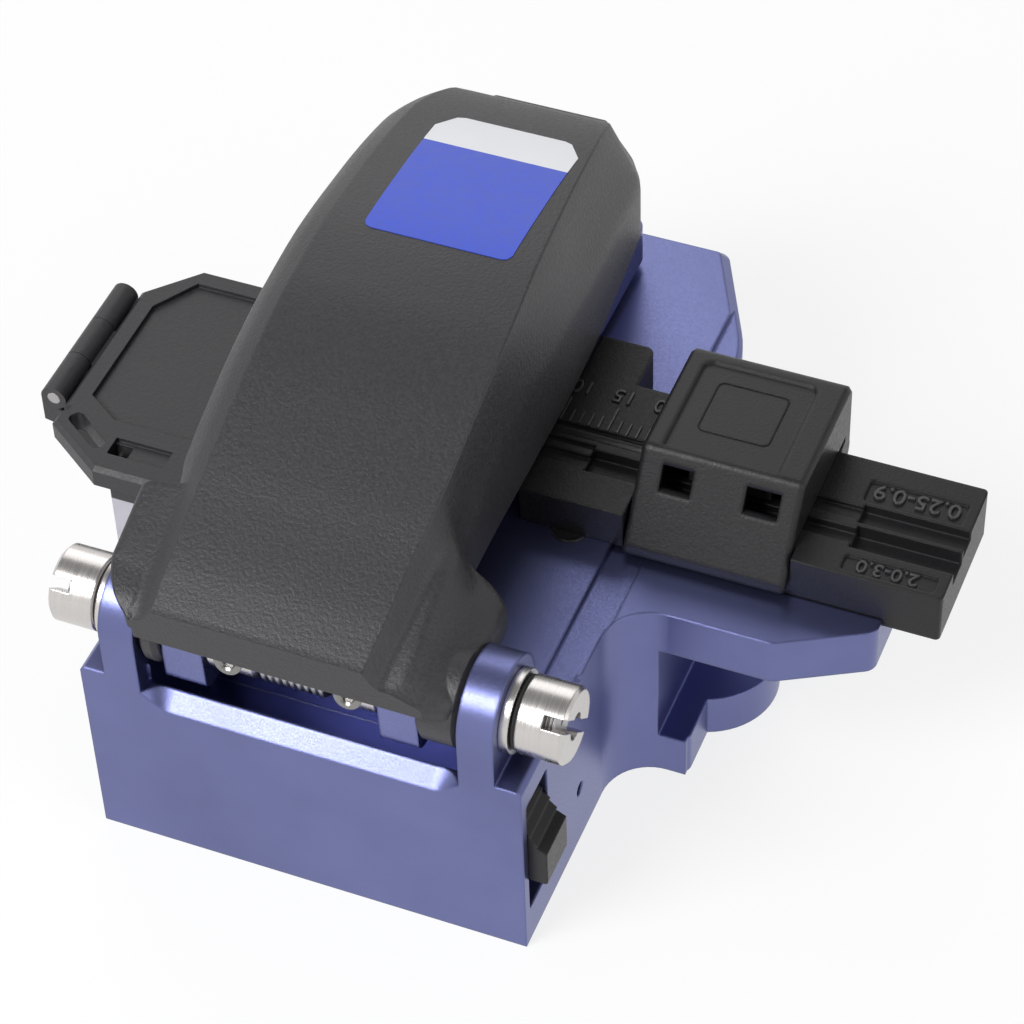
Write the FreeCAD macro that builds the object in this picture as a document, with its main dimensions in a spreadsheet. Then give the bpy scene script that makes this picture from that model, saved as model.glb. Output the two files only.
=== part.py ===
import FreeCAD, Part
import math
import os
import Sketcher

# A bench-top optical fibre cleaver: an anodised block with a sprung lid, a slide-on fibre holder on its
# right wing and a scrap collector on its left.  Frame: X across, Y towards the front, Z up.  The origin is
# on the underside, straight below the point where the blade scores the fibre.

doc = FreeCAD.newDocument("fibre_cleaver")
sheet = doc.addObject("Spreadsheet::Sheet", "sizes")
V = FreeCAD.Vector


class Num:
    """A number together with the spreadsheet expression that gives it."""

    def __init__(self, value, text, driven=True):
        self.value = float(value)
        self.text = text
        self.driven = driven

    def _join(self, other, sign, value):
        other = num(other)
        return Num(value, "(%s %s %s)" % (self.text, sign, other.text), self.driven or other.driven)

    def __add__(self, other):
        return self._join(other, "+", self.value + num(other).value)

    def __radd__(self, other):
        return num(other) + self

    def __sub__(self, other):
        return self._join(other, "-", self.value - num(other).value)

    def __rsub__(self, other):
        return num(other) - self

    def __mul__(self, other):
        return self._join(other, "*", self.value * num(other).value)

    def __rmul__(self, other):
        return num(other) * self

    def __truediv__(self, other):
        return self._join(other, "/", self.value / num(other).value)

    def __neg__(self):
        return Num(-self.value, "(-1 * %s)" % self.text, self.driven)


def num(value):
    if isinstance(value, Num):
        return value
    return Num(value, "%.6g" % value if value >= 0 else "(0 - %.6g)" % -value, False)


class Sizes:
    """The driving dimensions, one row of the sheet each."""

    def __init__(self):
        self.row = 1

    def add(self, name, value, note):
        sheet.set("A%d" % self.row, name)
        sheet.set("B%d" % self.row, "%.6g" % value)
        sheet.setAlias("B%d" % self.row, name)
        sheet.set("C%d" % self.row, note)
        self.row += 1
        setattr(self, name, Num(value, "sizes." + name))


S = Sizes()
SIZES = (
    ("body_half", 22.5, "half width of the block"),
    ("fibre_back", 40.7, "fibre line ahead of the rear face"),
    ("body_len", 76.4, "length of the block"),
    ("taper_from", 62.4, "where the sides start to taper, from the rear"),
    ("nose_half", 15.75, "half width of the front face"),
    ("taper_round", 15.0, "plan radius at the start of the taper"),
    ("nose_round", 1.6, "plan radius of the front corners"),
    ("body_top", 23.4, "height of the top of the block"),
    ("ledge_drop", 0.56, "step down to the strips beside the plateau"),
    ("plateau_half", 19.3, "half width of the plateau"),
    ("edge_break", 0.5, "chamfer on the outer edges"),
    ("lug_in", 16.3, "inner face of the hinge lugs"),
    ("lug_out", 19.87, "outer face of the hinge lugs"),
    ("lug_round", 5.3, "radius of the hinge lugs"),
    ("hinge_back", 5.3, "hinge axis ahead of the rear face"),
    ("hinge_up", 28.1, "height of the hinge axis"),
    ("well_wall", 1.74, "wall behind the hinge well"),
    ("well_front", 13.2, "front of the hinge well, from the rear"),
    ("well_floor", 10.0, "height of the floor of the hinge well"),
    ("bevel_low", 19.7, "height where the rear bevel starts"),
    ("bevel_half", 13.4, "half length of the straight rear bevel"),
    ("bevel_cone", 1.62, "radius at the foot of the bevel's round ends"),
    ("wing_rear", 25.4, "rear face of the right wing, from the rear"),
    ("wing_front", 51.0, "front face of the right wing, from the rear"),
    ("wing_tip", 46.8, "right end of the wing"),
    ("wing_slant_x", 38.0, "where the slanted corner of the wing starts"),
    ("wing_slant_y", 30.2, "where the slanted corner of the wing ends"),
    ("wing_low", 17.5, "underside of the wing"),
    ("wing_top", 22.9, "top of the wing"),
    ("side_blend", 5.0, "fillet between the side and the wing"),
    ("web_x", 26.55, "right end of the web under the wing"),
    ("foot_x", 29.65, "right side of the foot plate"),
    ("foot_top", 5.0, "thickness of the foot plate"),
    ("foot_arc_x", 27.0, "centre of the round of the foot, across"),
    ("foot_arc_y", 38.5, "centre of the round of the foot, from the rear"),
    ("foot_arc_r", 7.55, "radius of the round of the foot"),
    ("channel_half", 5.6, "half width of the carriage channel"),
    ("travel", 20.0, "travel of the blade carriage"),
    ("car_len", 22.0, "length of the carriage"),
    ("run_gap", 0.2, "side and end clearance of the carriage"),
    ("fit", 0.04, "radial running clearance of pins and shafts"),
    ("plate_thick", 2.0, "thickness of the bottom plate"),
    ("plate_half", 13.0, "half width of the bottom plate"),
    ("plate_long", 27.0, "half length of the bottom plate"),
    ("rod_r", 1.5, "radius of the guide rods"),
    ("rod_x", 3.6, "guide rods beside the middle"),
    ("rod_up", 7.6, "height of the guide rods"),
    ("slot_low", 4.5, "lower end of the lock slot"),
    ("slot_high", 19.7, "upper end of the lock slot"),
    ("slot_back", 1.1, "rear side of the lock slot, from the rear"),
    ("slot_wide", 5.2, "width of the lock slot"),
    ("slot_deep", 3.4, "depth of the lock slot"),
    ("lock_travel", 2.4, "travel of the lock slide"),
    ("lock_out", 1.9, "how far the lock slide stands out"),
    ("shaft_r", 1.9, "radius of the hinge shaft"),
    ("cap_r", 3.8, "radius of the end caps"),
    ("cap_face", 25.95, "outer face of the end caps"),
    ("ring_wide", 0.9, "thickness of the flange ring and of the O-ring"),
    ("fibre_up", 27.9, "height of the fibre line"),
    ("pad_gap", 2.2, "clamping pads beside the cleave plane"),
    ("pad_end", 9.4, "outer end of the right pad block"),
    ("pad_half", 5.0, "half length of the pad blocks"),
    ("rubber_thick", 0.7, "thickness of the clamping rubbers"),
    ("rubber_wide", 3.6, "width of the clamping rubbers"),
    ("blade_r", 8.25, "radius of the blade wheel"),
    ("blade_thick", 1.0, "thickness of the blade wheel"),
    ("axle_r", 1.5, "radius of the blade axle"),
    ("lid_left", -17.2, "left wall of the lid cover"),
    ("lid_right", 10.3, "right wall of the lid cover"),
    ("lid_rim", 29.0, "height of the rim of the lid cover"),
    ("flange_left", -19.9, "left edge of the flange over the left lug"),
    ("flange_gap", 0.25, "clearance of that flange over the lug"),
    ("hollow_front", 71.3, "front end of the hollow of the cover, from the rear"),
    ("lid_wall", 1.6, "wall of the lid cover"),
    ("lid_swell", 0.0, "extra height of the lid crown"),
    ("arm_left", -14.1, "left side of the lid arm"),
    ("arm_right", 6.6, "right side of the lid arm plate"),
    ("arm_low", 31.6, "underside of the lid arm plate"),
    ("arm_high", 34.6, "top of the lid arm plate"),
    ("arm_nose_low", 24.5, "underside of the arm's front block"),
    ("arm_nose_rear", 58.0, "rear of the arm's front block, from the rear"),
    ("arm_nose_front", 72.0, "front of the arm's front block, from the rear"),
    ("arm_lug_l0", -14.1, "left arm lug, outer face"),
    ("arm_lug_l1", -9.9, "left arm lug, inner face"),
    ("arm_lug_r0", 7.9, "right arm lug, inner face"),
    ("arm_lug_r1", 11.8, "right arm lug, outer face"),
    ("cheek_r", 4.9, "radius of the cover's hinge cheeks"),
    ("arm_lug_r", 4.0, "radius of the arm lugs"),
    ("slot_cap", 1.2, "width of the cross slots of the end caps"),
    ("bumper_back", 11.4, "bumper behind the front face of the block"),
    ("bumper_r", 2.5, "radius of the bumper"),
    ("seat_gap", 0.1, "clearance between side faces that stay put"),
    ("label_x0", -9.9, "left side of the label recess"),
    ("label_x1", 5.4, "right side of the label recess"),
    ("label_y0", 41.7, "rear of the label recess, from the rear"),
    ("label_y1", 62.4, "front of the label recess, from the rear"),
    ("rule_x0", 9.7, "left end of the ruler platform"),
    ("rule_x1", 20.5, "right end of the ruler platform"),
    ("rule_top", 27.8, "top of the ruler platform"),
    ("rule_rear", 31.9, "rear of the ruler platform, from the rear"),
    ("rule_front", 49.2, "front of the ruler platform, from the rear"),
    ("rule_low_y", -4.4, "rear of the recess of the platform, from the fibre line"),
    ("rule_high_y", -1.3, "front of the recess of the platform, from the fibre line"),
    ("rule_tab", 54.8, "front of the tab of the ruler platform"),
    ("tab_x", 15.5, "right side of the tab"),
    ("hold_x0", 20.9, "left end of the fibre holder"),
    ("hold_x1", 52.4, "right end of the fibre holder"),
    ("hold_rear", 32.05, "rear of the fibre holder, from the rear"),
    ("hold_front", 47.4, "front of the fibre holder, from the rear"),
    ("hold_top", 27.7, "top of the fibre holder"),
    ("hold_seat", 22.0, "floor of the holder's channel"),
    ("slide_gap", 0.1, "clearance of the holder in its channel"),
    ("clamp_x0", 20.8, "left side of the clamp lid"),
    ("clamp_x1", 37.2, "right side of the clamp lid"),
    ("clamp_rear", 31.0, "rear of the clamp lid, from the rear"),
    ("clamp_front", 51.4, "front of the clamp lid, from the rear"),
    ("clamp_low", 23.7, "lowest edge of the clamp lid"),
    ("clamp_fold", 36.5, "where the rear slope meets the top, from the rear"),
    ("clamp_top", 33.5, "top of the clamp lid"),
    ("clamp_wall", 1.2, "wall of the clamp lid"),
    ("clamp_edge", 0.4, "chamfer on the sides of the clamp lid"),
    ("clamp_pin_y", 49.4, "clamp hinge, from the rear"),
    ("clamp_pin_z", 25.5, "height of the clamp hinge"),
    ("clamp_pin_r", 0.8, "radius of the clamp pin"),
    ("knuckle_r", 1.8, "radius of the holder's knuckle"),
    ("bin_wide", 14.9, "reach of the collector from the side of the block"),
    ("bin_narrow", 8.9, "reach of the rear part of the collector"),
    ("bin_rear", 24.0, "rear of the collector, from the rear"),
    ("bin_step", 29.0, "where the collector widens, from the rear"),
    ("bin_front", 51.0, "front of the collector, from the rear"),
    ("bin_low", 9.5, "underside of the collector"),
    ("bin_split", 19.4, "top of the clear tray, underside of the collector frame"),
    ("bin_top", 22.5, "top of the collector"),
    ("bin_wall", 1.4, "wall of the collector"),
    ("door_wide", 16.4, "reach of the collector door from the side of the block"),
    ("door_gap", 0.3, "gap between the door and the block"),
    ("door_rear", 22.3, "rear of the collector door, from the rear"),
    ("door_front", 52.7, "front of the collector door, from the rear"),
    ("door_low", 22.6, "underside of the collector door"),
    ("door_top", 25.0, "top of the collector door"),
    ("door_edge", 0.5, "chamfer round the door"),
    ("door_sink", 0.5, "depth of the sunken panel of the door"),
    ("pivot_out", 18.0, "door hinge beside the block"),
    ("pivot_z", 24.4, "height of the door hinge"),
    ("pivot_r", 1.4, "radius of the door's knuckles"),
    ("pivot_pin_r", 0.7, "radius of the door's pin"),
    ("pivot_rear", 30.4, "rear end of the door hinge, from the rear"),
    ("pivot_front", 47.1, "front end of the door hinge, from the rear"),
    ("roller_r", 2.3, "radius of the scrap rollers"),
    ("roller_out", 4.5, "scrap rollers beside the block"),
    ("roller_low_z", 13.3, "height of the lower scrap roller"),
)
for name, value, note in SIZES:
    S.add(name, value, note)
doc.recompute()


def along(distance):
    """Y of a place that lies this far ahead of the rear face."""
    return num(distance) - S.fibre_back


def bind(thing, prop, value):
    value = num(value)
    if value.driven:
        thing.setExpression(prop, value.text)


def plane(body, role):
    for feature in body.Origin.OriginFeatures:
        if feature.Role == role:
            return feature
    raise RuntimeError(role)


class Drawing:
    """A sketch on an origin plane whose corners are all placed from the sheet."""

    def __init__(self, body, role, level=0.0):
        level = num(level)
        self.sketch = body.newObject("Sketcher::SketchObject", "Sketch")
        self.sketch.AttachmentSupport = [(plane(body, role), "")]
        self.sketch.MapMode = "FlatFace"
        self.sketch.AttachmentOffset = FreeCAD.Placement(V(0, 0, level.value), FreeCAD.Rotation())
        bind(self.sketch, "AttachmentOffset.Base.z", level)

    def dimension(self, kind, args, value):
        value = num(value)
        index = self.sketch.addConstraint(Sketcher.Constraint(kind, *args, value.value))
        if value.driven:
            name = "d%d" % index
            self.sketch.renameConstraint(index, name)
            self.sketch.setExpression("Constraints." + name, value.text)
        return index

    def at(self, geometry, position, x, y):
        self.dimension("DistanceX", (-1, 1, geometry, position), x)
        self.dimension("DistanceY", (-1, 1, geometry, position), y)

    def circle(self, x, y, radius):
        x, y, radius = num(x), num(y), num(radius)
        shape = Part.Circle(V(x.value, y.value, 0), V(0, 0, 1), radius.value)
        index = self.sketch.addGeometry(shape, False)
        self.at(index, 3, x, y)
        self.dimension("Radius", (index,), radius)
        return self

    def loop(self, corners):
        """A closed outline through (x, y) corners, or (x, y, radius) for a rounded one."""
        points = [V(num(c[0]).value, num(c[1]).value, 0) for c in corners]
        radii = [num(c[2]) if len(c) > 2 else None for c in corners]
        count = len(points)
        arcs = []
        for i, radius in enumerate(radii):
            here = points[i]
            if radius is None:
                arcs.append((here, here, None))
                continue
            back = (points[i - 1] - here).normalize()
            ahead = (points[(i + 1) % count] - here).normalize()
            half = back.getAngle(ahead) / 2
            reach = radius.value / math.tan(half)
            middle = here + (back + ahead).normalize() * (radius.value / math.sin(half))
            arcs.append((here + back * reach, here + ahead * reach, middle))
        lines = []
        for i in range(count):
            ends = (arcs[i][1], arcs[(i + 1) % count][0])
            lines.append(self.sketch.addGeometry(Part.LineSegment(*ends), False))
        for i, radius in enumerate(radii):
            before = lines[i - 1]
            after = lines[i]
            if radius is None:
                self.sketch.addConstraint(Sketcher.Constraint("Coincident", before, 2, after, 1))
                self.at(after, 1, corners[i][0], corners[i][1])
                continue
            corner = self.sketch.addGeometry(Part.Point(points[i]), True)
            self.at(corner, 1, corners[i][0], corners[i][1])
            self.sketch.addConstraint(Sketcher.Constraint("PointOnObject", corner, 1, before))
            self.sketch.addConstraint(Sketcher.Constraint("PointOnObject", corner, 1, after))
            start, end, middle = arcs[i]
            left = (start - points[i]).cross(end - points[i]).z < 0
            first, last = (start, end) if left else (end, start)
            angle0 = math.atan2(first.y - middle.y, first.x - middle.x)
            angle1 = math.atan2(last.y - middle.y, last.x - middle.x)
            if angle1 < angle0:
                angle1 += 2 * math.pi
            round_ = Part.Circle(middle, V(0, 0, 1), radius.value)
            arc = self.sketch.addGeometry(Part.ArcOfCircle(round_, angle0, angle1), False)
            self.sketch.addConstraint(Sketcher.Constraint("Tangent", before, 2, arc, 1 if left else 2))
            self.sketch.addConstraint(Sketcher.Constraint("Tangent", after, 1, arc, 2 if left else 1))
            self.dimension("Radius", (arc,), radius)
        return self

    def rect(self, x0, x1, y0, y1, radius=None):
        corners = ((x0, y0), (x1, y0), (x1, y1), (x0, y1))
        if radius is not None:
            corners = [corner + (radius,) for corner in corners]
        return self.loop(corners)


def new_body(label, x=0.0, y=0.0, z=0.0, compound=False):
    body = doc.addObject("PartDesign::Body", label)
    body.Label = label
    if compound:
        body.AllowCompound = True
    place(body, x, y, z)
    return body


def place(thing, x=0.0, y=0.0, z=0.0, turn=None):
    base = [num(x), num(y), num(z)]
    rotation = turn if turn is not None else FreeCAD.Rotation()
    thing.Placement = FreeCAD.Placement(V(*[b.value for b in base]), rotation)
    for axis, value in zip("xyz", base):
        bind(thing, "Placement.Base." + axis, value)


def pad(body, drawing, length):
    feature = body.newObject("PartDesign::Pad", "Pad")
    feature.Profile = drawing.sketch
    feature.Length = num(length).value
    bind(feature, "Length", length)
    return feature


def cut(body, drawing, length):
    """A pocket from the sketch back along its normal."""
    feature = body.newObject("PartDesign::Pocket", "Pocket")
    feature.Profile = drawing.sketch
    feature.Length = num(length).value
    bind(feature, "Length", length)
    return feature


# The three ways to extrude, each between two levels along its axis.
def add_z(body, shape, low, high):
    return pad(body, shape(Drawing(body, "XY_Plane", low)), num(high) - low)


def cut_z(body, shape, low, high):
    return cut(body, shape(Drawing(body, "XY_Plane", high)), num(high) - low)


def add_y(body, shape, low, high):
    return pad(body, shape(Drawing(body, "XZ_Plane", -num(high))), num(high) - low)


def cut_y(body, shape, low, high):
    return cut(body, shape(Drawing(body, "XZ_Plane", -num(low))), num(high) - low)


def add_x(body, shape, low, high):
    return pad(body, shape(Drawing(body, "YZ_Plane", low)), num(high) - low)


def cut_x(body, shape, low, high):
    return cut(body, shape(Drawing(body, "YZ_Plane", high)), num(high) - low)


def rect(x0, x1, y0, y1, radius=None):
    return lambda drawing: drawing.rect(x0, x1, y0, y1, radius)


def loop(*corners):
    return lambda drawing: drawing.loop(corners)


def circle(x, y, radius):
    return lambda drawing: drawing.circle(x, y, radius)


def spun(label, corners, x=0.0, y=0.0, z=0.0):
    """A turned piece: (distance along, radius) corners spun about the X axis of its body."""
    body = new_body(label, x, y, z)
    drawing = Drawing(body, "XY_Plane").loop(corners)
    feature = body.newObject("PartDesign::Revolution", "Revolution")
    feature.Profile = drawing.sketch
    feature.ReferenceAxis = (drawing.sketch, ["H_Axis"])
    feature.Angle = 360
    return body


def ring(label, x0, x1, inner, outer, y, z):
    return spun(label, ((x0, inner), (x1, inner), (x1, outer), (x0, outer)), 0, y, z)


def soften(body, kind, size, chosen):
    """Fillet or chamfer on the edges that the test picks."""
    doc.recompute()
    base = body.Tip
    names = []
    for index, edge in enumerate(base.Shape.Edges, 1):
        middle = edge.valueAt((edge.FirstParameter + edge.LastParameter) / 2)
        ends = [vertex.Point for vertex in edge.Vertexes]
        if chosen(edge, middle, ends):
            names.append("Edge%d" % index)
    if not names:
        raise RuntimeError("no edge for " + body.Label)
    feature = body.newObject("PartDesign::" + kind, kind)
    feature.Base = (base, names)
    prop = "Radius" if kind == "Fillet" else "Size"
    setattr(feature, prop, num(size).value)
    bind(feature, prop, size)
    return feature


HINGE_Y = along(S.hinge_back)
HINGE_Z = S.hinge_up
TOP = S.body_top
LEDGE = S.body_top - S.ledge_drop
REAR = along(0)
FRONT = along(S.body_len)
CHANNEL = (S.travel + S.car_len) / 2 + S.run_gap
AXLE_Z = S.fibre_up - S.blade_r - 0.05
CAR_Y = S.travel / 2
LOCK_X0 = S.body_half - S.slot_deep
SHAFT_END = S.lug_out + 2 * S.ring_wide + 1.7

# ---------------------------------------------------------------- base block
base = new_body("base_body")
add_z(base, loop(
    (-S.body_half, REAR), (S.body_half, REAR), (S.body_half, along(S.taper_from), S.taper_round),
    (S.nose_half, FRONT, S.nose_round), (-S.nose_half, FRONT, S.nose_round),
    (-S.body_half, along(S.taper_from), S.taper_round)), 0, TOP)
soften(base, "Chamfer", S.edge_break * 2,
       lambda e, m, ends: m.z > TOP.value - 0.01 and m.y > along(S.taper_from).value - 12
       and abs(m.x) < S.body_half.value - 0.01)
side_start = S.body_half - 3
add_z(base, loop(
    (side_start, along(S.wing_rear - S.side_blend * 2)), (S.body_half, along(S.wing_rear - S.side_blend * 2)),
    (S.body_half, along(S.wing_rear), S.side_blend), (S.foot_x - 0.2, along(S.wing_rear)),
    (S.foot_x - 0.2, along(S.wing_rear + 1)), (side_start, along(S.wing_rear + 1))), 0, S.wing_top)
cut_z(base, rect(S.web_x, S.foot_x + 3, along(S.wing_rear - 1), along(S.wing_rear + 2)), S.foot_top, S.wing_low)
add_z(base, rect(side_start, S.web_x, along(S.wing_rear + 0.5), along(S.wing_front)), 0, S.wing_top)
add_z(base, loop(
    (side_start, along(S.wing_rear)), (S.wing_slant_x, along(S.wing_rear), S.edge_break * 4),
    (S.wing_tip, along(S.wing_slant_y), 1.5), (S.wing_tip, along(S.wing_front), 2.0),
    (side_start, along(S.wing_front))), S.wing_low, S.wing_top)
add_z(base, rect(side_start, S.foot_x, along(S.wing_rear), along(S.wing_front), 1.3), 0, S.foot_top)
add_z(base, circle(S.foot_arc_x, along(S.foot_arc_y), S.foot_arc_r), 0, S.foot_top)
for side in (-1, 1):
    inner = S.lug_in if side > 0 else -S.lug_out
    outer = S.lug_out if side > 0 else -S.lug_in
    ledge0 = S.plateau_half if side > 0 else -S.body_half - 1
    ledge1 = S.body_half + 0.4 if side > 0 else -S.plateau_half
    cut_z(base, rect(ledge0, ledge1, REAR - 1, along(S.taper_from + 6)), LEDGE, TOP + 1)
    add_x(base, rect(REAR, REAR + 2 * S.lug_round, LEDGE - 1, HINGE_Z), inner, outer)
    add_x(base, circle(HINGE_Y, HINGE_Z, S.lug_round), inner, outer)
cut_z(base, rect(-S.lug_in, S.lug_in, REAR + S.well_wall, along(S.well_front), 1.0), S.well_floor, TOP + 1)
bevel = S.well_wall
wall_top = S.bevel_low + bevel
cut_x(base, rect(REAR - 1, REAR + bevel + 0.3, wall_top, TOP + 1), -S.lug_in, S.lug_in)
cut_x(base, loop((REAR - 1, S.bevel_low - 1), (REAR + bevel + 0.3, wall_top + 0.3), (REAR - 1, wall_top + 0.3)),
      -S.bevel_half, S.bevel_half)
cone_r = S.bevel_cone
for side in (-1, 1):
    cone = base.newObject("PartDesign::SubtractiveCone", "Cone")
    cone.Radius1 = cone_r.value
    bind(cone, "Radius1", cone_r)
    cone.Radius2 = (cone_r + bevel).value
    bind(cone, "Radius2", cone_r + bevel)
    cone.Height = bevel.value
    bind(cone, "Height", bevel)
    place(cone, S.bevel_half * side, REAR - cone_r, S.bevel_low)
cut_x(base, circle(HINGE_Y, HINGE_Z, S.shaft_r + S.fit), -S.lug_out - 1, S.lug_out + 1)
cut_z(base, rect(-S.channel_half, S.channel_half, -CHANNEL, CHANNEL), S.plate_thick, TOP + 1)
cut_z(base, rect(-S.plate_half, S.plate_half, -S.plate_long, S.plate_long, 2.0), -1, S.plate_thick)
for side in (-1, 1):
    cut_y(base, circle(S.rod_x * side, S.rod_up, S.rod_r), -CHANNEL - 4, CHANNEL + 4)
cut_x(base, rect(along(S.slot_back), along(S.slot_back) + S.slot_wide, S.slot_low, S.slot_high, 0.4),
      LOCK_X0, S.body_half + 1)
cut_x(base, circle(along(14.4), 7.4, 0.8), S.body_half - 3, S.body_half + 1)
cut_z(base, rect(S.hold_x0 - 0.3, S.wing_tip + 1, along(S.hold_rear) - S.slide_gap,
                 along(S.hold_front) + S.slide_gap), S.hold_seat, TOP + 1)

# ---------------------------------------------------------------- underside
plate = new_body("bottom_plate")
gap = S.seat_gap
add_z(plate, rect(-S.plate_half + gap, S.plate_half - gap, -S.plate_long + gap, S.plate_long - gap, 2.0 - 0.1),
      0, S.plate_thick)

rods = new_body("guide_rods", compound=True)
for side in (-1, 1):
    add_y(rods, circle(S.rod_x * side, S.rod_up, S.rod_r), -CHANNEL - 4, CHANNEL + 4)

# ---------------------------------------------------------------- blade carriage
carriage = new_body("blade_carriage")
car_half = S.channel_half - S.run_gap
car0 = CAR_Y - S.car_len / 2
car1 = CAR_Y + S.car_len / 2
add_z(carriage, rect(-car_half, car_half, car0, car1), S.plate_thick + 2.5, 13.0)
add_x(carriage, loop((CAR_Y - 7, 12.5), (CAR_Y + 7, 12.5), (CAR_Y + 3.4, TOP - 0.6, 1.2),
                     (CAR_Y - 3.4, TOP - 0.6, 1.2)), -car_half, car_half)
slot_half = S.blade_thick / 2 + 1.1
cut_z(carriage, rect(-slot_half, slot_half, CAR_Y - S.blade_r - 0.6, CAR_Y + S.blade_r + 0.6),
      AXLE_Z - S.blade_r - 0.6, TOP + 1)
for side in (-1, 1):
    cut_y(carriage, circle(S.rod_x * side, S.rod_up, S.rod_r + S.fit), car0 - 1, car1 + 1)
cut_x(carriage, circle(CAR_Y, AXLE_Z, S.axle_r), -car_half - 1, car_half + 1)

half_blade = S.blade_thick / 2
spun("blade_wheel", (
    (-half_blade, S.axle_r + S.fit), (half_blade, S.axle_r + S.fit), (half_blade, S.blade_r - 0.6),
    (0, S.blade_r), (-half_blade, S.blade_r - 0.6)), 0, CAR_Y, AXLE_Z)
spun("blade_axle", ((-car_half, 0), (car_half, 0), (car_half, S.axle_r), (-car_half, S.axle_r)), 0, CAR_Y, AXLE_Z)

# ---------------------------------------------------------------- clamping pads round the cleave plane
for side, label in ((1, "right"), (-1, "left")):
    near = S.pad_gap if side > 0 else -S.pad_end - 3
    far = S.pad_end if side > 0 else -S.pad_gap
    block = new_body("pad_block_" + label)
    rubber_low = S.fibre_up - S.rubber_thick
    add_z(block, rect(near, far, -S.pad_half, S.pad_half), TOP, rubber_low)
    r0 = S.pad_gap if side > 0 else -S.pad_gap - S.rubber_wide
    low_rubber = new_body("lower_rubber_" + label)
    add_z(low_rubber, rect(r0, r0 + S.rubber_wide, -S.pad_half + 1.5, S.pad_half - 1.5), rubber_low, S.fibre_up)
    arm_pad = new_body("upper_pad_" + label)
    add_z(arm_pad, rect(r0, r0 + S.rubber_wide, -S.pad_half + 1.2, S.pad_half - 1.2),
          S.fibre_up + 0.25 + S.rubber_thick, S.arm_low)
    high_rubber = new_body("upper_rubber_" + label)
    add_z(high_rubber, rect(r0, r0 + S.rubber_wide, -S.pad_half + 1.5, S.pad_half - 1.5),
          S.fibre_up + 0.25, S.fibre_up + 0.25 + S.rubber_thick)

# ---------------------------------------------------------------- lid: arm, cover and label
arm = new_body("lid_arm")
add_z(arm, loop((S.arm_left, along(9)), (S.arm_right, along(9)),
                (S.arm_right, along(S.arm_nose_front - 4), 1.0), (S.arm_right - 3, along(S.arm_nose_front - 1.5), 1.0),
                (S.arm_left + 3, along(S.arm_nose_front - 1.5), 1.0), (S.arm_left, along(S.arm_nose_front - 4), 1.0)),
      S.arm_low, S.arm_high)
nose_right = S.arm_right + 1.7
add_z(arm, loop((S.arm_left + 1, along(S.arm_nose_rear)), (nose_right, along(S.arm_nose_rear)),
                (nose_right, along(S.arm_nose_front), 2.0), (S.arm_left + 1, along(S.arm_nose_front), 2.0)),
      S.arm_nose_low, S.lid_rim - 0.15)
add_z(arm, rect(S.arm_left + 2, S.arm_right - 0.5, along(S.arm_nose_rear + 1), along(S.arm_nose_front - 3), 1.0),
      S.arm_nose_low + 1, S.arm_low + 0.5)
for low, high in ((S.arm_lug_l0, S.arm_lug_l1), (S.arm_lug_r0, S.arm_lug_r1)):
    add_x(arm, loop((along(1.6), HINGE_Z - 5.7, 1.5), (along(8.6), HINGE_Z - 5.7, 3.0),
                    (HINGE_Y + S.arm_lug_r, HINGE_Z), (HINGE_Y - S.arm_lug_r, HINGE_Z)), low, high)
    add_x(arm, circle(HINGE_Y, HINGE_Z, S.arm_lug_r), low, high)
    add_x(arm, loop((HINGE_Y, HINGE_Z), (along(11.5), HINGE_Z + 1.6), (along(11.5), HINGE_Z + S.arm_lug_r),
                    (HINGE_Y, HINGE_Z + S.arm_lug_r)), low, high)
add_z(arm, rect(S.arm_left, S.arm_lug_r1, along(9.2), along(11.5)), S.arm_low - 1.4, HINGE_Z + S.arm_lug_r)
cut_x(arm, circle(HINGE_Y, HINGE_Z, S.shaft_r + S.fit), S.arm_lug_l0 - 1, S.arm_lug_r1 + 1)
cut_z(arm, circle(0, 0, 2.0 + S.fit), S.arm_low - 1, S.arm_high + 1)

cover = new_body("lid_cover")
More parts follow.
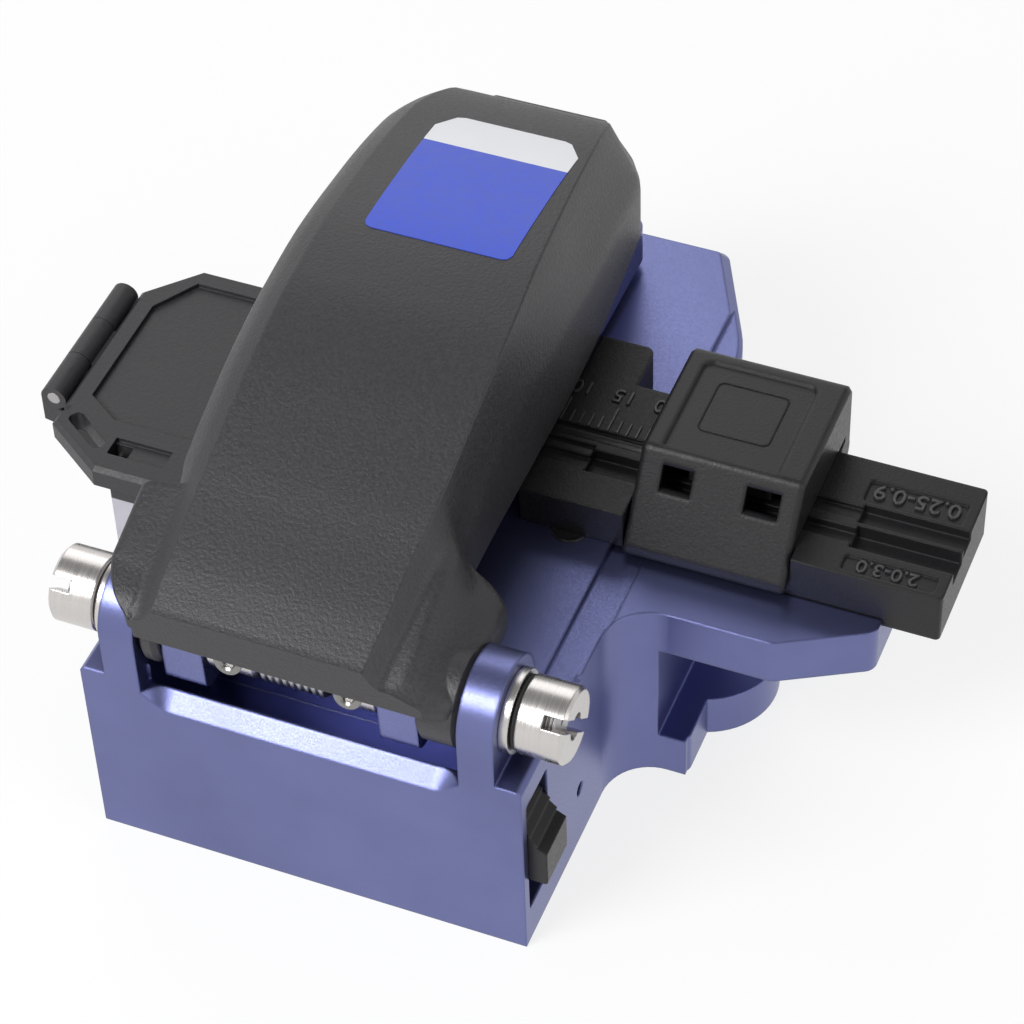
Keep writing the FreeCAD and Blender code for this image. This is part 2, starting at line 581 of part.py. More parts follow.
# Cross-sections of the cover from rear to front: distance from the rear, height of the rim, then points of
# the outline: left wall, left cove, left and right edge and height of the top, right groove, right shoulder
# and right wall.
STATIONS = (
    (-0.4, 30.0, (-15.4, 31.7), (-14.9, 32.7), (-13.7, 7.6, 34.1), (9.1, 32.6), (10.6, 31.9), (13.6, 31.0)),
    (1.0, 29.6, (-16.1, 32.2), (-15.3, 33.7), (-13.7, 7.8, 34.9), (9.3, 33.1), (12.0, 32.3), (15.3, 31.0)),
    (4.0, 29.2, (-16.1, 33.7), (-15.3, 35.2), (-13.7, 8.1, 36.4), (9.5, 34.7), (13.2, 33.3), (16.1, 31.8)),
    (10.9, 29.0, (-16.1, 36.7), (-15.3, 38.2), (-13.7, 8.4, 39.4), (9.8, 37.4), (13.3, 33.9), (16.1, 32.0)),
    (13.4, 29.0, (-17.2, 37.7), (-15.5, 39.4), (-13.6, 8.7, 40.6), (10.0, 38.2), (12.9, 33.6), (15.8, 31.6)),
    (16.6, 29.0, (-17.2, 39.0), (-15.5, 40.7), (-13.6, 8.9, 41.9), (9.8, 37.6), (10.1, 35.0), (10.4, 32.4)),
    (27.0, 29.0, (-17.2, 42.7), (-15.5, 44.4), (-13.6, 9.1, 45.6), (9.5, 43.0), (9.9, 40.4), (10.3, 37.8)),
    (40.0, 29.0, (-17.2, 44.7), (-15.5, 46.4), (-13.6, 8.3, 47.6), (9.1, 44.6), (9.7, 41.6), (10.3, 38.6)),
    (52.0, 29.0, (-17.2, 44.0), (-15.5, 45.7), (-13.6, 7.2, 46.9), (8.1, 43.8), (9.0, 40.7), (10.0, 37.6)),
    (62.0, 29.0, (-17.0, 42.5), (-15.3, 44.2), (-13.4, 6.2, 45.4), (7.2, 42.6), (8.2, 39.8), (9.2, 37.0)),
    (69.0, 29.0, (-15.7, 40.1), (-14.0, 41.8), (-12.1, 5.2, 43.0), (6.3, 40.7), (7.4, 38.4), (8.5, 36.0)),
    (73.6, 29.0, (-13.3, 36.1), (-11.6, 37.8), (-9.7, 3.4, 39.0), (4.5, 37.3), (5.6, 35.6), (6.6, 34.0)),
)
crown = S.lid_swell


def top_at(distance):
    """Height of the top of the cover this far from the rear."""
    for first, last in zip(STATIONS, STATIONS[1:]):
        if first[0] <= distance <= last[0]:
            share = (distance - first[0]) / (last[0] - first[0])
            return first[4][2] + (last[4][2] - first[4][2]) * share + crown
    raise RuntimeError(distance)


def across_lid(x):
    """A place across the cover, tied to its nearer wall."""
    if x < -5:
        return S.lid_left + (x - S.lid_left.value)
    return S.lid_right + (x - S.lid_right.value)


def section(station):
    low = S.lid_rim + (station[1] - S.lid_rim.value)
    left, cove, top, groove_, shoulder, right = station[2:]
    points = [(left[0], low), (right[0], low), right, shoulder, groove_, (top[1], top[2]), (top[0], top[2]), cove, left]
    return [(across_lid(x), z if isinstance(z, Num) else z + crown) for x, z in points]


sketches = [Drawing(cover, "XZ_Plane", -along(station[0])).loop(section(station)).sketch for station in STATIONS]
shell = cover.newObject("PartDesign::AdditiveLoft", "AdditiveLoft")
shell.Profile = sketches[0]
shell.Sections = sketches[1:]
shell.Ruled = True
# The flange over the left lug, and the cheeks on both sides of the arm.
cheek0 = S.arm_lug_r1 + S.seat_gap
cheek1 = S.lug_in - S.seat_gap * 2
add_x(cover, loop((along(0.9), 31.8), (along(5.0), 33.0), (along(11.8), 34.6), (along(11.8), 37.5),
                  (along(8.4), 36.4), (along(4.8), 34.9), (along(0.9), 33.2)), S.flange_left, -cheek1 + 0.2)
cut_z(cover, loop((S.flange_left - 1, REAR - 2), (-cheek1 - 1.1, REAR - 2), (-cheek1 - 1.3, along(0.9)),
                  (S.flange_left + 0.9, along(3.0)), (S.flange_left, along(4.8)), (S.flange_left - 1, along(4.8))),
      S.lid_rim, S.lid_rim + 9)
cut_x(cover, circle(HINGE_Y, HINGE_Z, S.lug_round + S.flange_gap), S.flange_left - 1, -cheek1)
for low, high in ((cheek0, cheek1), (-cheek1, S.arm_left - S.seat_gap)):
    add_x(cover, circle(HINGE_Y, HINGE_Z, S.cheek_r), low, high)
deep = S.arm_high + 0.2
side_x = 8.5
cut_x(cover, loop((along(0.9), HINGE_Z - 8), (along(0.9), 31.7), (along(2.6), 32.9), (along(5.2), 34.2),
                  (along(8.5), deep), (along(14.2), deep), (along(14.2), HINGE_Z - 8)), S.arm_left - gap, side_x)
cut_x(cover, loop((along(0.9), HINGE_Z - 8), (along(0.9), 30.6), (along(2.6), 31.7),
                  (along(4.0), HINGE_Z + S.arm_lug_r + 0.2), (along(12.4), HINGE_Z + S.arm_lug_r + 0.2),
                  (along(12.4), HINGE_Z - 8)), side_x - 0.5, S.arm_lug_r1 + gap)
nose = S.hollow_front
corner_x = S.arm_nose_front - S.hollow_front + 2.0
cut_z(cover, loop((S.arm_left - gap, along(12)), (S.lid_right - S.lid_wall, along(12)),
                  (S.lid_right - S.lid_wall, along(50)), (S.arm_right + 0.3, along(62)),
                  (S.arm_right + 0.3, along(nose - 2.6)), (S.arm_right - corner_x, along(nose)),
                  (S.arm_left + corner_x, along(nose)), (S.arm_left - gap, along(nose - 2.6))), S.lid_rim - 1, deep)
add_high = 5.0
cut_z(cover, rect(S.arm_left + 1, S.arm_right - 0.6, along(24), along(60), 2.0), deep - 0.5, deep + add_high)
cut_x(cover, circle(HINGE_Y, HINGE_Z, S.shaft_r + S.fit), -cheek1 - 1, cheek1 + 1)

# The label lies in a shallow recess that follows the crown.
fold_y = 52.0
label_y2 = S.label_y1 - 2.7
level0 = top_at(41.7)
level1 = top_at(fold_y)
level2 = top_at(59.7)
level3 = top_at(62.4)
recess = 0.5
cut_x(cover, loop((along(S.label_y0), level0 - recess), (along(fold_y), level1 - recess),
                  (along(label_y2), level2 - recess), (along(label_y2), level0 + 3), (along(S.label_y0), level0 + 3)),
      S.label_x0, S.label_x1)
cut_x(cover, loop((along(label_y2) - 0.5, level2 - recess + 0.1), (along(S.label_y1), level3 - recess),
                  (along(S.label_y1), level0 + 3), (along(label_y2) - 0.5, level0 + 3)),
      S.label_x0 + 0.9, S.label_x1 - 0.9)
label = new_body("label_plate")
edge = S.seat_gap
film = 0.1
seat = recess - 0.03
add_x(label, loop((along(S.label_y0) + edge, level0 - seat), (along(fold_y), level1 - seat),
                  (along(label_y2) - edge, level2 - seat), (along(label_y2) - edge, level2 - film),
                  (along(fold_y), level1 - film), (along(S.label_y0) + edge, level0 - film)),
      S.label_x0 + edge, S.label_x1 - edge)
add_x(label, loop((along(label_y2) - 0.6, level2 - seat + 0.15), (along(S.label_y1) - edge, level3 - seat + 0.05),
                  (along(S.label_y1) - edge, level3 - film), (along(label_y2) - 0.6, level2 - film)),
      S.label_x0 + 0.9 + edge, S.label_x1 - 0.9 - edge)

anvil = new_body("anvil")
add_z(anvil, circle(0, 0, 2.0), S.fibre_up + 0.9, S.arm_high - 0.8)
add_y(anvil, loop((-0.7, S.fibre_up + 0.3, 0.3), (0.7, S.fibre_up + 0.3, 0.3), (1.3, S.fibre_up + 1.3),
                  (-1.3, S.fibre_up + 1.3)), -1.5, 1.5)
bumper = new_body("lid_bumper")
add_z(bumper, circle(-3, FRONT - S.bumper_back, S.bumper_r), TOP, S.arm_nose_low - 0.02)

# ---------------------------------------------------------------- hinge
spun("hinge_shaft", ((-SHAFT_END, 0), (SHAFT_END, 0), (SHAFT_END, S.shaft_r), (-SHAFT_END, S.shaft_r)),
     0, HINGE_Y, HINGE_Z)
for side, label in ((1, "right"), (-1, "left")):
    face = S.lug_out + 0.03
    ring("flange_ring_" + label, side * face, side * (face + S.ring_wide), S.shaft_r, S.cap_r + 0.3, HINGE_Y, HINGE_Z)
    r0 = face + S.ring_wide
    r1 = face + 2 * S.ring_wide
    ring("o_ring_" + label, side * r0, side * r1, S.shaft_r, S.cap_r - 0.2, HINGE_Y, HINGE_Z)
    out = S.cap_face
    cap = spun("end_cap_" + label, (
        (side * r1, S.shaft_r), (side * (SHAFT_END + 0.1), S.shaft_r), (side * (SHAFT_END + 0.1), 0),
        (side * (out - 1.7), 0), (side * (out - 1.7), 1.5), (side * out, 1.5), (side * out, S.cap_r - 0.3),
        (side * (out - 0.3), S.cap_r), (side * r1, S.cap_r)), 0, HINGE_Y, HINGE_Z)
    s0 = out - 2.3 if side > 0 else -out - 1
    s1 = out + 1 if side > 0 else -out + 2.3
    half = S.slot_cap / 2
    cut_x(cap, rect(-S.cap_r - 1, S.cap_r + 1, -half, half), s0, s1)
    cut_x(cap, rect(-half, half, -S.cap_r - 1, S.cap_r + 1), s0, s1)

collars = [ring("collar_left", S.arm_lug_l1 + 0.1, -6.5, S.shaft_r, 3.7, HINGE_Y, HINGE_Z)]
ring("hinge_bush", -6.4, -4.7, S.shaft_r, 3.9, HINGE_Y, HINGE_Z)
collars.append(ring("collar_right", 2.5, 5.6, S.shaft_r, 3.7, HINGE_Y, HINGE_Z))
ring("hinge_hub", 5.7, S.arm_lug_r0 - 0.1, S.shaft_r, 4.1, HINGE_Y, HINGE_Z)
screws = new_body("collar_screws", 0, HINGE_Y, HINGE_Z, compound=True)
for collar, x in zip(collars, (-8.1, 4.1)):
    add_y(screws, circle(x, 1.2, 0.9), -4.0, -2.8)
    cut_y(collar, circle(x, 1.2, 0.9), -4.6, -2.8)

# The torsion spring is a coil of many short straight lengths, too fine a helix for a swept spline.
coil_r = 3.1
wire_r = 0.45
pitch = 1.2
turns = 5
steps = 12
path = []
for i in range(turns * steps + 1):
    angle = 2 * math.pi * i / steps
    path.append(V(-4.0 + pitch * i / steps, coil_r * math.sin(angle), coil_r * math.cos(angle)))
start = path[1] - path[0]
across = V(1, 0, 0).cross(start).normalize()
upright = start.cross(across).normalize()
rim = [path[0] + (across * math.cos(k * math.pi / 3) + upright * math.sin(k * math.pi / 3)) * wire_r for k in range(6)]
sweep = Part.Wire(Part.makePolygon(path)).makePipeShell([Part.makePolygon(rim + rim[:1])], True, False, 1)
spring = doc.addObject("Part::Feature", "torsion_spring")
spring.Label = "torsion_spring"
spring.Shape = sweep
place(spring, 0, HINGE_Y, HINGE_Z)

# ---------------------------------------------------------------- lock slide
lock = new_body("lock_slide")
lock_x = S.body_half + S.lock_out
lock_low = S.slot_low + S.lock_travel + 0.1
lock_high = S.slot_high - 0.2
ribs = [(LOCK_X0 + 0.1, lock_low), (lock_x - 0.9, lock_low), (lock_x, lock_low + 1.6)]
rib_pitch = (lock_high - lock_low - 4.2) / 6
for i in range(6):
    rise = lock_low + 1.9 + rib_pitch * i
    ribs.append((lock_x, rise))
    ribs.append((lock_x - 0.5, rise + 0.25))
    ribs.append((lock_x - 0.5, rise + rib_pitch - 0.55))
    ribs.append((lock_x, rise + rib_pitch - 0.3))
ribs.extend([(lock_x, lock_high - 2.0), (lock_x - 1.2, lock_high - 0.2), (LOCK_X0 + 0.1, lock_high - 0.2)])
add_y(lock, loop(*ribs), along(S.slot_back) + 0.1, along(S.slot_back) + S.slot_wide - 0.1)

# ---------------------------------------------------------------- ruler platform
rule = new_body("ruler_platform")
add_z(rule, loop((S.rule_x0, along(S.rule_rear)), (S.rule_x1, along(S.rule_rear)), (S.rule_x1, along(S.rule_front)),
                 (S.tab_x, along(S.rule_front)), (S.tab_x, along(S.rule_tab), 1.0), (S.rule_x0, along(S.rule_tab))),
      TOP, S.rule_top)
cut_z(rule, rect(S.rule_x1 - 5.8, S.rule_x1 + 1, S.rule_low_y, S.rule_high_y), S.rule_top - 1.3, S.rule_top + 1)
groove = 0.35
cut_x(rule, loop((-groove, S.rule_top), (0, S.rule_top - groove), (groove, S.rule_top), (groove, S.rule_top + 1),
                 (-groove, S.rule_top + 1)), S.rule_x0 - 1, S.rule_x1 + 1)
cut_z(rule, rect(S.rule_x0 - 1, S.rule_x1 + 1, 0.7, 1.4), S.rule_top - 0.4, S.rule_top + 1)
cut_z(rule, rect(S.rule_x0 - 1, S.rule_x1 - 5.8, -1.5, -0.8), S.rule_top - 0.4, S.rule_top + 1)
cut_z(rule, rect(S.rule_x0 - 1, S.rule_x1 - 5.8, S.rule_low_y + 0.4, S.rule_high_y - 1.0), S.rule_top - 0.5,
      S.rule_top + 1)

# ---------------------------------------------------------------- fibre holder and its clamp
hold = new_body("fibre_holder")
h0 = along(S.hold_rear)
h1 = along(S.hold_front)
add_z(hold, rect(S.hold_x0, S.hold_x1, h0, h1, 0.5), S.hold_seat + 0.02, S.hold_top)
mid = S.hold_x1 - 10.6
cut_z(hold, rect(mid, S.hold_x1 + 1, -1.75, 0.8), S.hold_top - 1.1, S.hold_top + 1)
cut_z(hold, rect(S.hold_x0 - 1, mid + 0.1, -1.4, 0.4), S.hold_top - 0.5, S.hold_top + 1)
cut_z(hold, rect(mid + 0.2, S.hold_x1 + 1, -5.1, -2.1), S.hold_top - 1.6, S.hold_top + 1)
cut_z(hold, rect(S.hold_x0 - 1, mid + 0.3, -4.5, -2.5), S.hold_top - 0.9, S.hold_top + 1)
cut_z(hold, rect(mid - 0.4, S.hold_x1 - 1.1, h1 - 5.5, h1 - 2.5, 0.4), S.hold_top - 0.3, S.hold_top + 1)
cut_z(hold, rect(mid + 0.3, S.hold_x1 - 1.1, h0 + 0.55, h0 + 2.65, 0.4), S.hold_top - 0.3, S.hold_top + 1)
k0 = S.clamp_x0 + 5
k1 = S.clamp_x1 - 5
pin_y = along(S.clamp_pin_y)
slope = (S.clamp_fold - S.clamp_rear) / (S.clamp_top - S.clamp_low - 1.2)
bevel_z = S.clamp_low + 1.1
cut_x(hold, loop((h0 - 1, bevel_z), (h0, bevel_z), (h0 + (S.hold_top + 1 - bevel_z) * slope, S.hold_top + 1),
                 (h0 - 1, S.hold_top + 1)), S.hold_x0 - 1, S.clamp_x1 + 0.2)
add_x(hold, rect(h1 - 1, pin_y, S.clamp_pin_z - S.knuckle_r, S.clamp_pin_z + S.knuckle_r), k0, k1)
add_x(hold, circle(pin_y, S.clamp_pin_z, S.knuckle_r), k0, k1)
cut_x(hold, circle(pin_y, S.clamp_pin_z, S.clamp_pin_r + S.fit), k0 - 1, k1 + 1)

clamp = new_body("clamp_lid")
c0 = along(S.clamp_rear)
c1 = along(S.clamp_front)
fold = along(S.clamp_fold)
add_x(clamp, loop((c0, S.clamp_low), (c1, S.clamp_low, 1.4), (c1, S.clamp_top, 1.2), (fold, S.clamp_top, 0.8),
                  (c0, S.clamp_low + 1.2)), S.clamp_x0, S.clamp_x1)
wall = S.clamp_wall
inner0 = h0 - S.slide_gap * 1.5
low_cut = S.hold_top + 0.15
knee = S.clamp_low + 1.2
soften(clamp, "Chamfer", S.clamp_edge,
       lambda e, m, ends: m.z > S.clamp_low.value + 1.3
       and min(abs(m.x - S.clamp_x0.value), abs(m.x - S.clamp_x1.value)) < 1e-4)
cut_x(clamp, loop((inner0 + (low_cut - 0.5 - knee) * slope, low_cut - 0.5), (c1 - wall, low_cut - 0.5),
                  (c1 - wall, S.clamp_top - wall), (inner0 + (S.clamp_top - wall - knee) * slope, S.clamp_top - wall)),
      S.clamp_x0 + wall, S.clamp_x1 - wall)
cut_x(clamp, loop((inner0, S.clamp_low - 1), (pin_y, S.clamp_low - 1), (pin_y, low_cut),
                  (inner0 + (low_cut - knee) * slope, low_cut), (inner0, knee)), S.clamp_x0 - 1, S.clamp_x1 + 1)
for x0, x1 in ((S.clamp_x0, k0 - 0.2), (k1 + 0.2, S.clamp_x1)):
    add_x(clamp, circle(pin_y, S.clamp_pin_z, S.knuckle_r - 0.1), x0, x1)
cut_x(clamp, rect(h1 - 0.5, c1 + 1, S.clamp_low - 1, S.clamp_pin_z + S.knuckle_r + 0.4),
      k0 - 0.2, k1 + 0.2)
cut_x(clamp, circle(pin_y, S.clamp_pin_z, S.clamp_pin_r), S.clamp_x0 + 1, S.clamp_x1 - 1)
for x0, x1 in ((23.2, 26.4), (31.7, 35.2)):
    cut_y(clamp, rect(x0, x1, 29.8, S.clamp_top - wall - 0.1), c0 - 1, fold + 2)
cut_z(clamp, loop((S.clamp_x0 + 1.9, fold + 0.5), (S.clamp_x1 - 2.9, fold + 0.5),
                  (S.clamp_x1 - 2.9, c1 - 1.9, 1.0), (S.clamp_x0 + 1.9, c1 - 1.9, 1.0)),
      S.clamp_top - 0.3, S.clamp_top + 1)
pin = new_body("clamp_pin", 0, pin_y, S.clamp_pin_z)
add_x(pin, circle(0, 0, S.clamp_pin_r), S.clamp_x0 + 1, S.clamp_x1 - 1)
clamp_pad = new_body("clamp_pad")
add_z(clamp_pad, rect(S.clamp_x0 + 4, S.clamp_x1 - 4, -2.0, 2.0), S.hold_top + 0.1, S.clamp_top - wall)

# ---------------------------------------------------------------- scrap collector
b0 = along(S.bin_rear)
b1 = along(S.bin_front)
bw = S.bin_wall
side_face = -S.body_half
bin_left = side_face - S.bin_wide
bin_mid = side_face - S.bin_narrow
roller_x = side_face - S.roller_out
door_left = side_face - S.door_wide
door_right = side_face - S.door_gap
pivot_x = side_face - S.pivot_out
step_y = along(S.bin_step)
split = S.bin_split
p0 = along(S.pivot_rear)
p1 = along(S.pivot_front)
third = (p1 - p0) / 3
bin_ = new_body("collector_bin")
frame = new_body("collector_frame")
for body, low, high in ((bin_, S.bin_low, split - 0.02), (frame, split, S.bin_top)):
    add_z(body, loop((bin_left, step_y), (bin_left, b1 - 3.5), (bin_left + 3.5, b1), (side_face, b1), (side_face, b0),
                     (bin_mid, b0), (bin_mid, step_y)), low, high)
    floor = low + bw if body is bin_ else low - 1
    cut_z(body, loop((bin_left + bw, step_y + bw), (bin_left + bw, b1 - 3.5 - bw * 0.4), (bin_left + 3.5 + bw * 0.4, b1 - bw),
                     (side_face - bw, b1 - bw), (side_face - bw, b0 + bw), (bin_mid + bw, b0 + bw),
                     (bin_mid + bw, step_y + bw)), floor, high + 1)
run = S.bin_top - S.bin_low
cut_x(bin_, loop((step_y - 1, S.bin_low - 1), (step_y + run * 0.9 + 1, S.bin_low - 1), (step_y, split),
                 (step_y - 1, split)), bin_left - 1, bin_mid)
add_x(bin_, loop((step_y + run * 0.9 - 1.2, S.bin_low), (step_y + run * 0.9 + 0.6, S.bin_low), (step_y + 1.9, split - 0.02),
                 (step_y + 0.1, split - 0.02)), bin_left, bin_mid + bw)
for y0, y1 in ((p0, p0 + third), (p1 - third, p1)):
    add_y(frame, circle(pivot_x, S.pivot_z, S.pivot_r), y0, y1)
    add_y(frame, loop((pivot_x - S.pivot_r, S.pivot_z), (pivot_x - S.pivot_r, S.bin_top - 1.4),
                      (bin_left + 0.6, S.bin_top - 2.6), (bin_left + 0.6, S.bin_top - 0.8),
                      (pivot_x + 0.5, S.pivot_z - 1.45)), y0, y1)
cut_y(frame, circle(pivot_x, S.pivot_z, S.pivot_pin_r), p0 - 1, p1 + 1)

door = new_body("collector_door")
d0 = along(S.door_rear)
d1 = along(S.door_front)
add_z(door, loop((door_left, d0 + 4.7), (door_left + 6.8, d0), (door_right, d0), (door_right, d1),
                 (door_left + 4.8, d1), (door_left, d1 - 5.1)), S.door_low, S.door_top)
soften(door, "Chamfer", S.door_edge,
       lambda e, m, ends: m.z > S.door_top.value - 1e-4 and m.x < door_right.value - 0.01)
# A sunken panel, a finger slot, a square window with its shallow step and a small notch.
sunk = S.door_top - S.door_sink
cut_z(door, loop((door_left + 2.2, d1 - 7.0), (door_left + 2.2, d0 + 9.4), (door_left + 5.9, d0 + 6.9),
                 (door_right + 1, d0 + 6.9), (door_right + 1, d1 - 2.2), (door_left + 5.2, d1 - 2.2)), sunk, S.door_top + 1)
cut_z(door, loop((door_left + 1.2, d0 + 5.6, 0.6), (door_left + 5.8, d0 + 2.4, 0.6), (door_left + 6.8, d0 + 3.5, 0.6),
                 (door_left + 2.2, d0 + 6.9, 0.6)), S.door_low - 1, S.door_top + 1)
cut_z(door, rect(door_left + 7.3, door_left + 9.3, d0 + 2.8, d0 + 4.4, 0.2), S.door_low - 1, S.door_top + 1)
cut_z(door, rect(door_left + 7.3, door_right - 2.6, d0 + 2.4, d0 + 4.8, 0.2), sunk, S.door_top + 1)
cut_z(door, rect(door_left - 1, door_left + 0.9, d0 + 6.4, d0 + 7.3), S.door_low - 1, S.door_top + 1)
m0 = p0 + third + 0.1
m1 = p1 - third - 0.1
add_y(door, circle(pivot_x, S.pivot_z, S.pivot_r), m0, m1)
add_y(door, rect(pivot_x, door_left + 0.8, S.door_low + 0.6, S.door_top - S.door_edge), m0, m1)
cut_y(door, circle(pivot_x, S.pivot_z, S.pivot_pin_r + S.fit), p0 - 1, p1 + 1)
pivot = new_body("collector_pin", pivot_x, 0, S.pivot_z)
add_y(pivot, circle(0, 0, S.pivot_pin_r), p0, p1)
for label, z in (("lower", S.roller_low_z), ("upper", S.roller_low_z + 2 * S.roller_r + 0.1)):
    roller = new_body("scrap_roller_" + label, roller_x, 0, z)
    add_y(roller, circle(0, 0, S.roller_r), b0 + bw + 1, b1 - bw - 1)
    add_y(roller, circle(0, 0, 0.9), b0 + bw - 0.8, b1 - bw + 0.8)
    cut_y(bin_, circle(roller_x, z, 0.9 + S.fit), b0 + bw - 0.9, b1 - bw + 0.9)

# ---------------------------------------------------------------- check and write
doc.recompute()
problems = []
for thing in doc.Objects:
    if "Invalid" in thing.State or "Error" in thing.State:
        problems.append("%s %s" % (thing.Label, thing.State))
    if thing.TypeId == "PartDesign::Pocket" and thing.BaseFeature is not None:
        if thing.Shape.Volume > thing.BaseFeature.Shape.Volume - 1e-6:
            problems.append("%s of %s cuts nothing" % (thing.Label, thing.getParent().Label))
nodes = [thing for thing in doc.Objects if thing.TypeId in ("PartDesign::Body", "Part::Feature")]
for node in nodes:
    if node.Shape.isNull() or not node.Shape.isValid() or not node.Shape.Solids:
        problems.append(node.Label + " has no valid solid")
if problems:
    raise RuntimeError("; ".join(problems))
os.makedirs("parts", exist_ok=True)
for node in nodes:
    node.Shape.exportStep("parts/%s.step" % node.Label)
print(len(nodes), "pieces")
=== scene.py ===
import bpy
import bmesh
import math
from mathutils import Matrix, Vector

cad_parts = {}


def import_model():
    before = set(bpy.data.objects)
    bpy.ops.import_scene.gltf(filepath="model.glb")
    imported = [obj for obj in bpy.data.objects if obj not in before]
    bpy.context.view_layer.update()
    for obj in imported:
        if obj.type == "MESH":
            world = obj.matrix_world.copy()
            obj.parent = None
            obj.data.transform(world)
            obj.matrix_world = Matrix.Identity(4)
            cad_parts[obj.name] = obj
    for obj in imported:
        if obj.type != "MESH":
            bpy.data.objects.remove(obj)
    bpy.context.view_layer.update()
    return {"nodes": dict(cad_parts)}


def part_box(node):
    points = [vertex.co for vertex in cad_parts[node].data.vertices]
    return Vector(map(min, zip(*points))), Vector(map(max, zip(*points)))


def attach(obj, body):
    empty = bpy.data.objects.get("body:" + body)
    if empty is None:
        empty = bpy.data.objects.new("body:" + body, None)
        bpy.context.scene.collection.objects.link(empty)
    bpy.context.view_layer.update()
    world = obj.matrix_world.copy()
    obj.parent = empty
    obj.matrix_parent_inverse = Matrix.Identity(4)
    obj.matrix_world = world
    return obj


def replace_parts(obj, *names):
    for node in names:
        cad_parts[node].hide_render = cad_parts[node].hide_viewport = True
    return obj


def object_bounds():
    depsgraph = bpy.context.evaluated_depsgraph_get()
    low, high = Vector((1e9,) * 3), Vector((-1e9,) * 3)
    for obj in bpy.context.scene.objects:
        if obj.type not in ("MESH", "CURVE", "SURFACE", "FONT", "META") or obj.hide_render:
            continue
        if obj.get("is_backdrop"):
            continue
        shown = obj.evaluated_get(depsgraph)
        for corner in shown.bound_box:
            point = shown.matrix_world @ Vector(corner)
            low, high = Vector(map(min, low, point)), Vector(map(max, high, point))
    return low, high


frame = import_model()
NODES = frame["nodes"]
MM = 0.001
FIBRE_BACK = 40.7  # from the rear face to the fibre line, which is Y = 0


def mm(x, y, z):
    return Vector((x * MM, y * MM, z * MM))


def ahead(distance):
    """Millimetres ahead of the rear face, as a Y of the frame."""
    return distance - FIBRE_BACK


HINGE = (ahead(5.3), 28.1)  # Y and Z of the lid's axis
RULER_TOP = 27.8
HOLDER_TOP = 27.4
PLATEAU_TOP = 23.4


# ------------------------------------------------------------------ finishes
class Finish:
    """One node material, with short helpers for the patterns that the finishes share."""

    def __init__(self, name):
        self.material = bpy.data.materials.new(name)
        self.material.use_nodes = True
        self.tree = self.material.node_tree
        self.nodes = self.tree.nodes
        self.shader = self.nodes["Principled BSDF"]
        coordinates = self.nodes.new("ShaderNodeTexCoord")
        self.place = coordinates.outputs["Object"]

    def set(self, **values):
        for key, value in values.items():
            self.shader.inputs[key.replace("_", " ")].default_value = value
        return self

    def link(self, a, b):
        self.tree.links.new(a, b)

    def noise(self, scale, detail=4.0, rough=0.55, stretch=None):
        source = self.place
        if stretch is not None:
            mapping = self.nodes.new("ShaderNodeMapping")
            mapping.inputs["Scale"].default_value = stretch
            self.link(self.place, mapping.inputs["Vector"])
            source = mapping.outputs["Vector"]
        node = self.nodes.new("ShaderNodeTexNoise")
        node.inputs["Scale"].default_value = scale
        node.inputs["Detail"].default_value = detail
        node.inputs["Roughness"].default_value = rough
        self.link(source, node.inputs["Vector"])
        return node.outputs["Fac"]

    def ramp(self, value, stops):
        node = self.nodes.new("ShaderNodeValToRGB")
        for element, (position, colour) in zip(node.color_ramp.elements, stops):
            element.position = position
            element.color = (*colour, 1.0)
        self.link(value, node.inputs["Fac"])
        return node.outputs["Color"]

    def tones(self, value, colour, darker, lighter, low=0.3, high=0.7):
        """The colour, made darker and lighter with a pattern."""
        return self.ramp(value, ((low, shade(colour, darker)), (high, shade(colour, lighter))))

    def span(self, value, low, high, to_low, to_high):
        node = self.nodes.new("ShaderNodeMapRange")
        limits = (("From Min", low), ("From Max", high), ("To Min", to_low), ("To Max", to_high))
        for key, number in limits:
            node.inputs[key].default_value = number
        self.link(value, node.inputs["Value"])
        return node.outputs["Result"]

    def bump(self, value, distance, strength=1.0, after=None):
        node = self.nodes.new("ShaderNodeBump")
        node.inputs["Distance"].default_value = distance
        node.inputs["Strength"].default_value = strength
        self.link(value, node.inputs["Height"])
        if after is not None:
            self.link(after, node.inputs["Normal"])
        return node.outputs["Normal"]

    def edge(self, radius):
        """A small break on every edge, as shading only."""
        node = self.nodes.new("ShaderNodeBevel")
        node.samples = 6
        node.inputs["Radius"].default_value = radius
        return node.outputs["Normal"]

    def mix(self, factor, a, b, blend="MIX"):
        """Two colours mixed; each of the three may be a socket or a plain value."""
        node = self.nodes.new("ShaderNodeMix")
        node.data_type = "RGBA"
        node.blend_type = blend
        for key, value in (("Factor", factor), ("A", a), ("B", b)):
            if isinstance(value, bpy.types.NodeSocket):
                self.link(value, node.inputs[key])
            else:
                node.inputs[key].default_value = value
        return node.outputs["Result"]

    def to(self, socket, value):
        self.link(value, self.shader.inputs[socket])


def shade(colour, factor):
    return tuple(min(1.0, c * factor) for c in colour)


def anodised(name, colour, rough=0.34):
    """Bead-blasted, dyed aluminium: a fine even grain with a slow drift of tone."""
    f = Finish(name).set(Metallic=0.95, IOR=1.5)
    drift = f.noise(55.0, 3.0)
    f.to("Base Color", f.tones(drift, colour, 0.9, 1.1))
    grain = f.noise(5200.0, 2.0, 0.6)
    f.to("Roughness", f.span(grain, 0.3, 0.7, rough - 0.05, rough + 0.07))
    f.to("Normal", f.bump(grain, 0.00002, 0.3, f.edge(0.0004)))
    return f.material


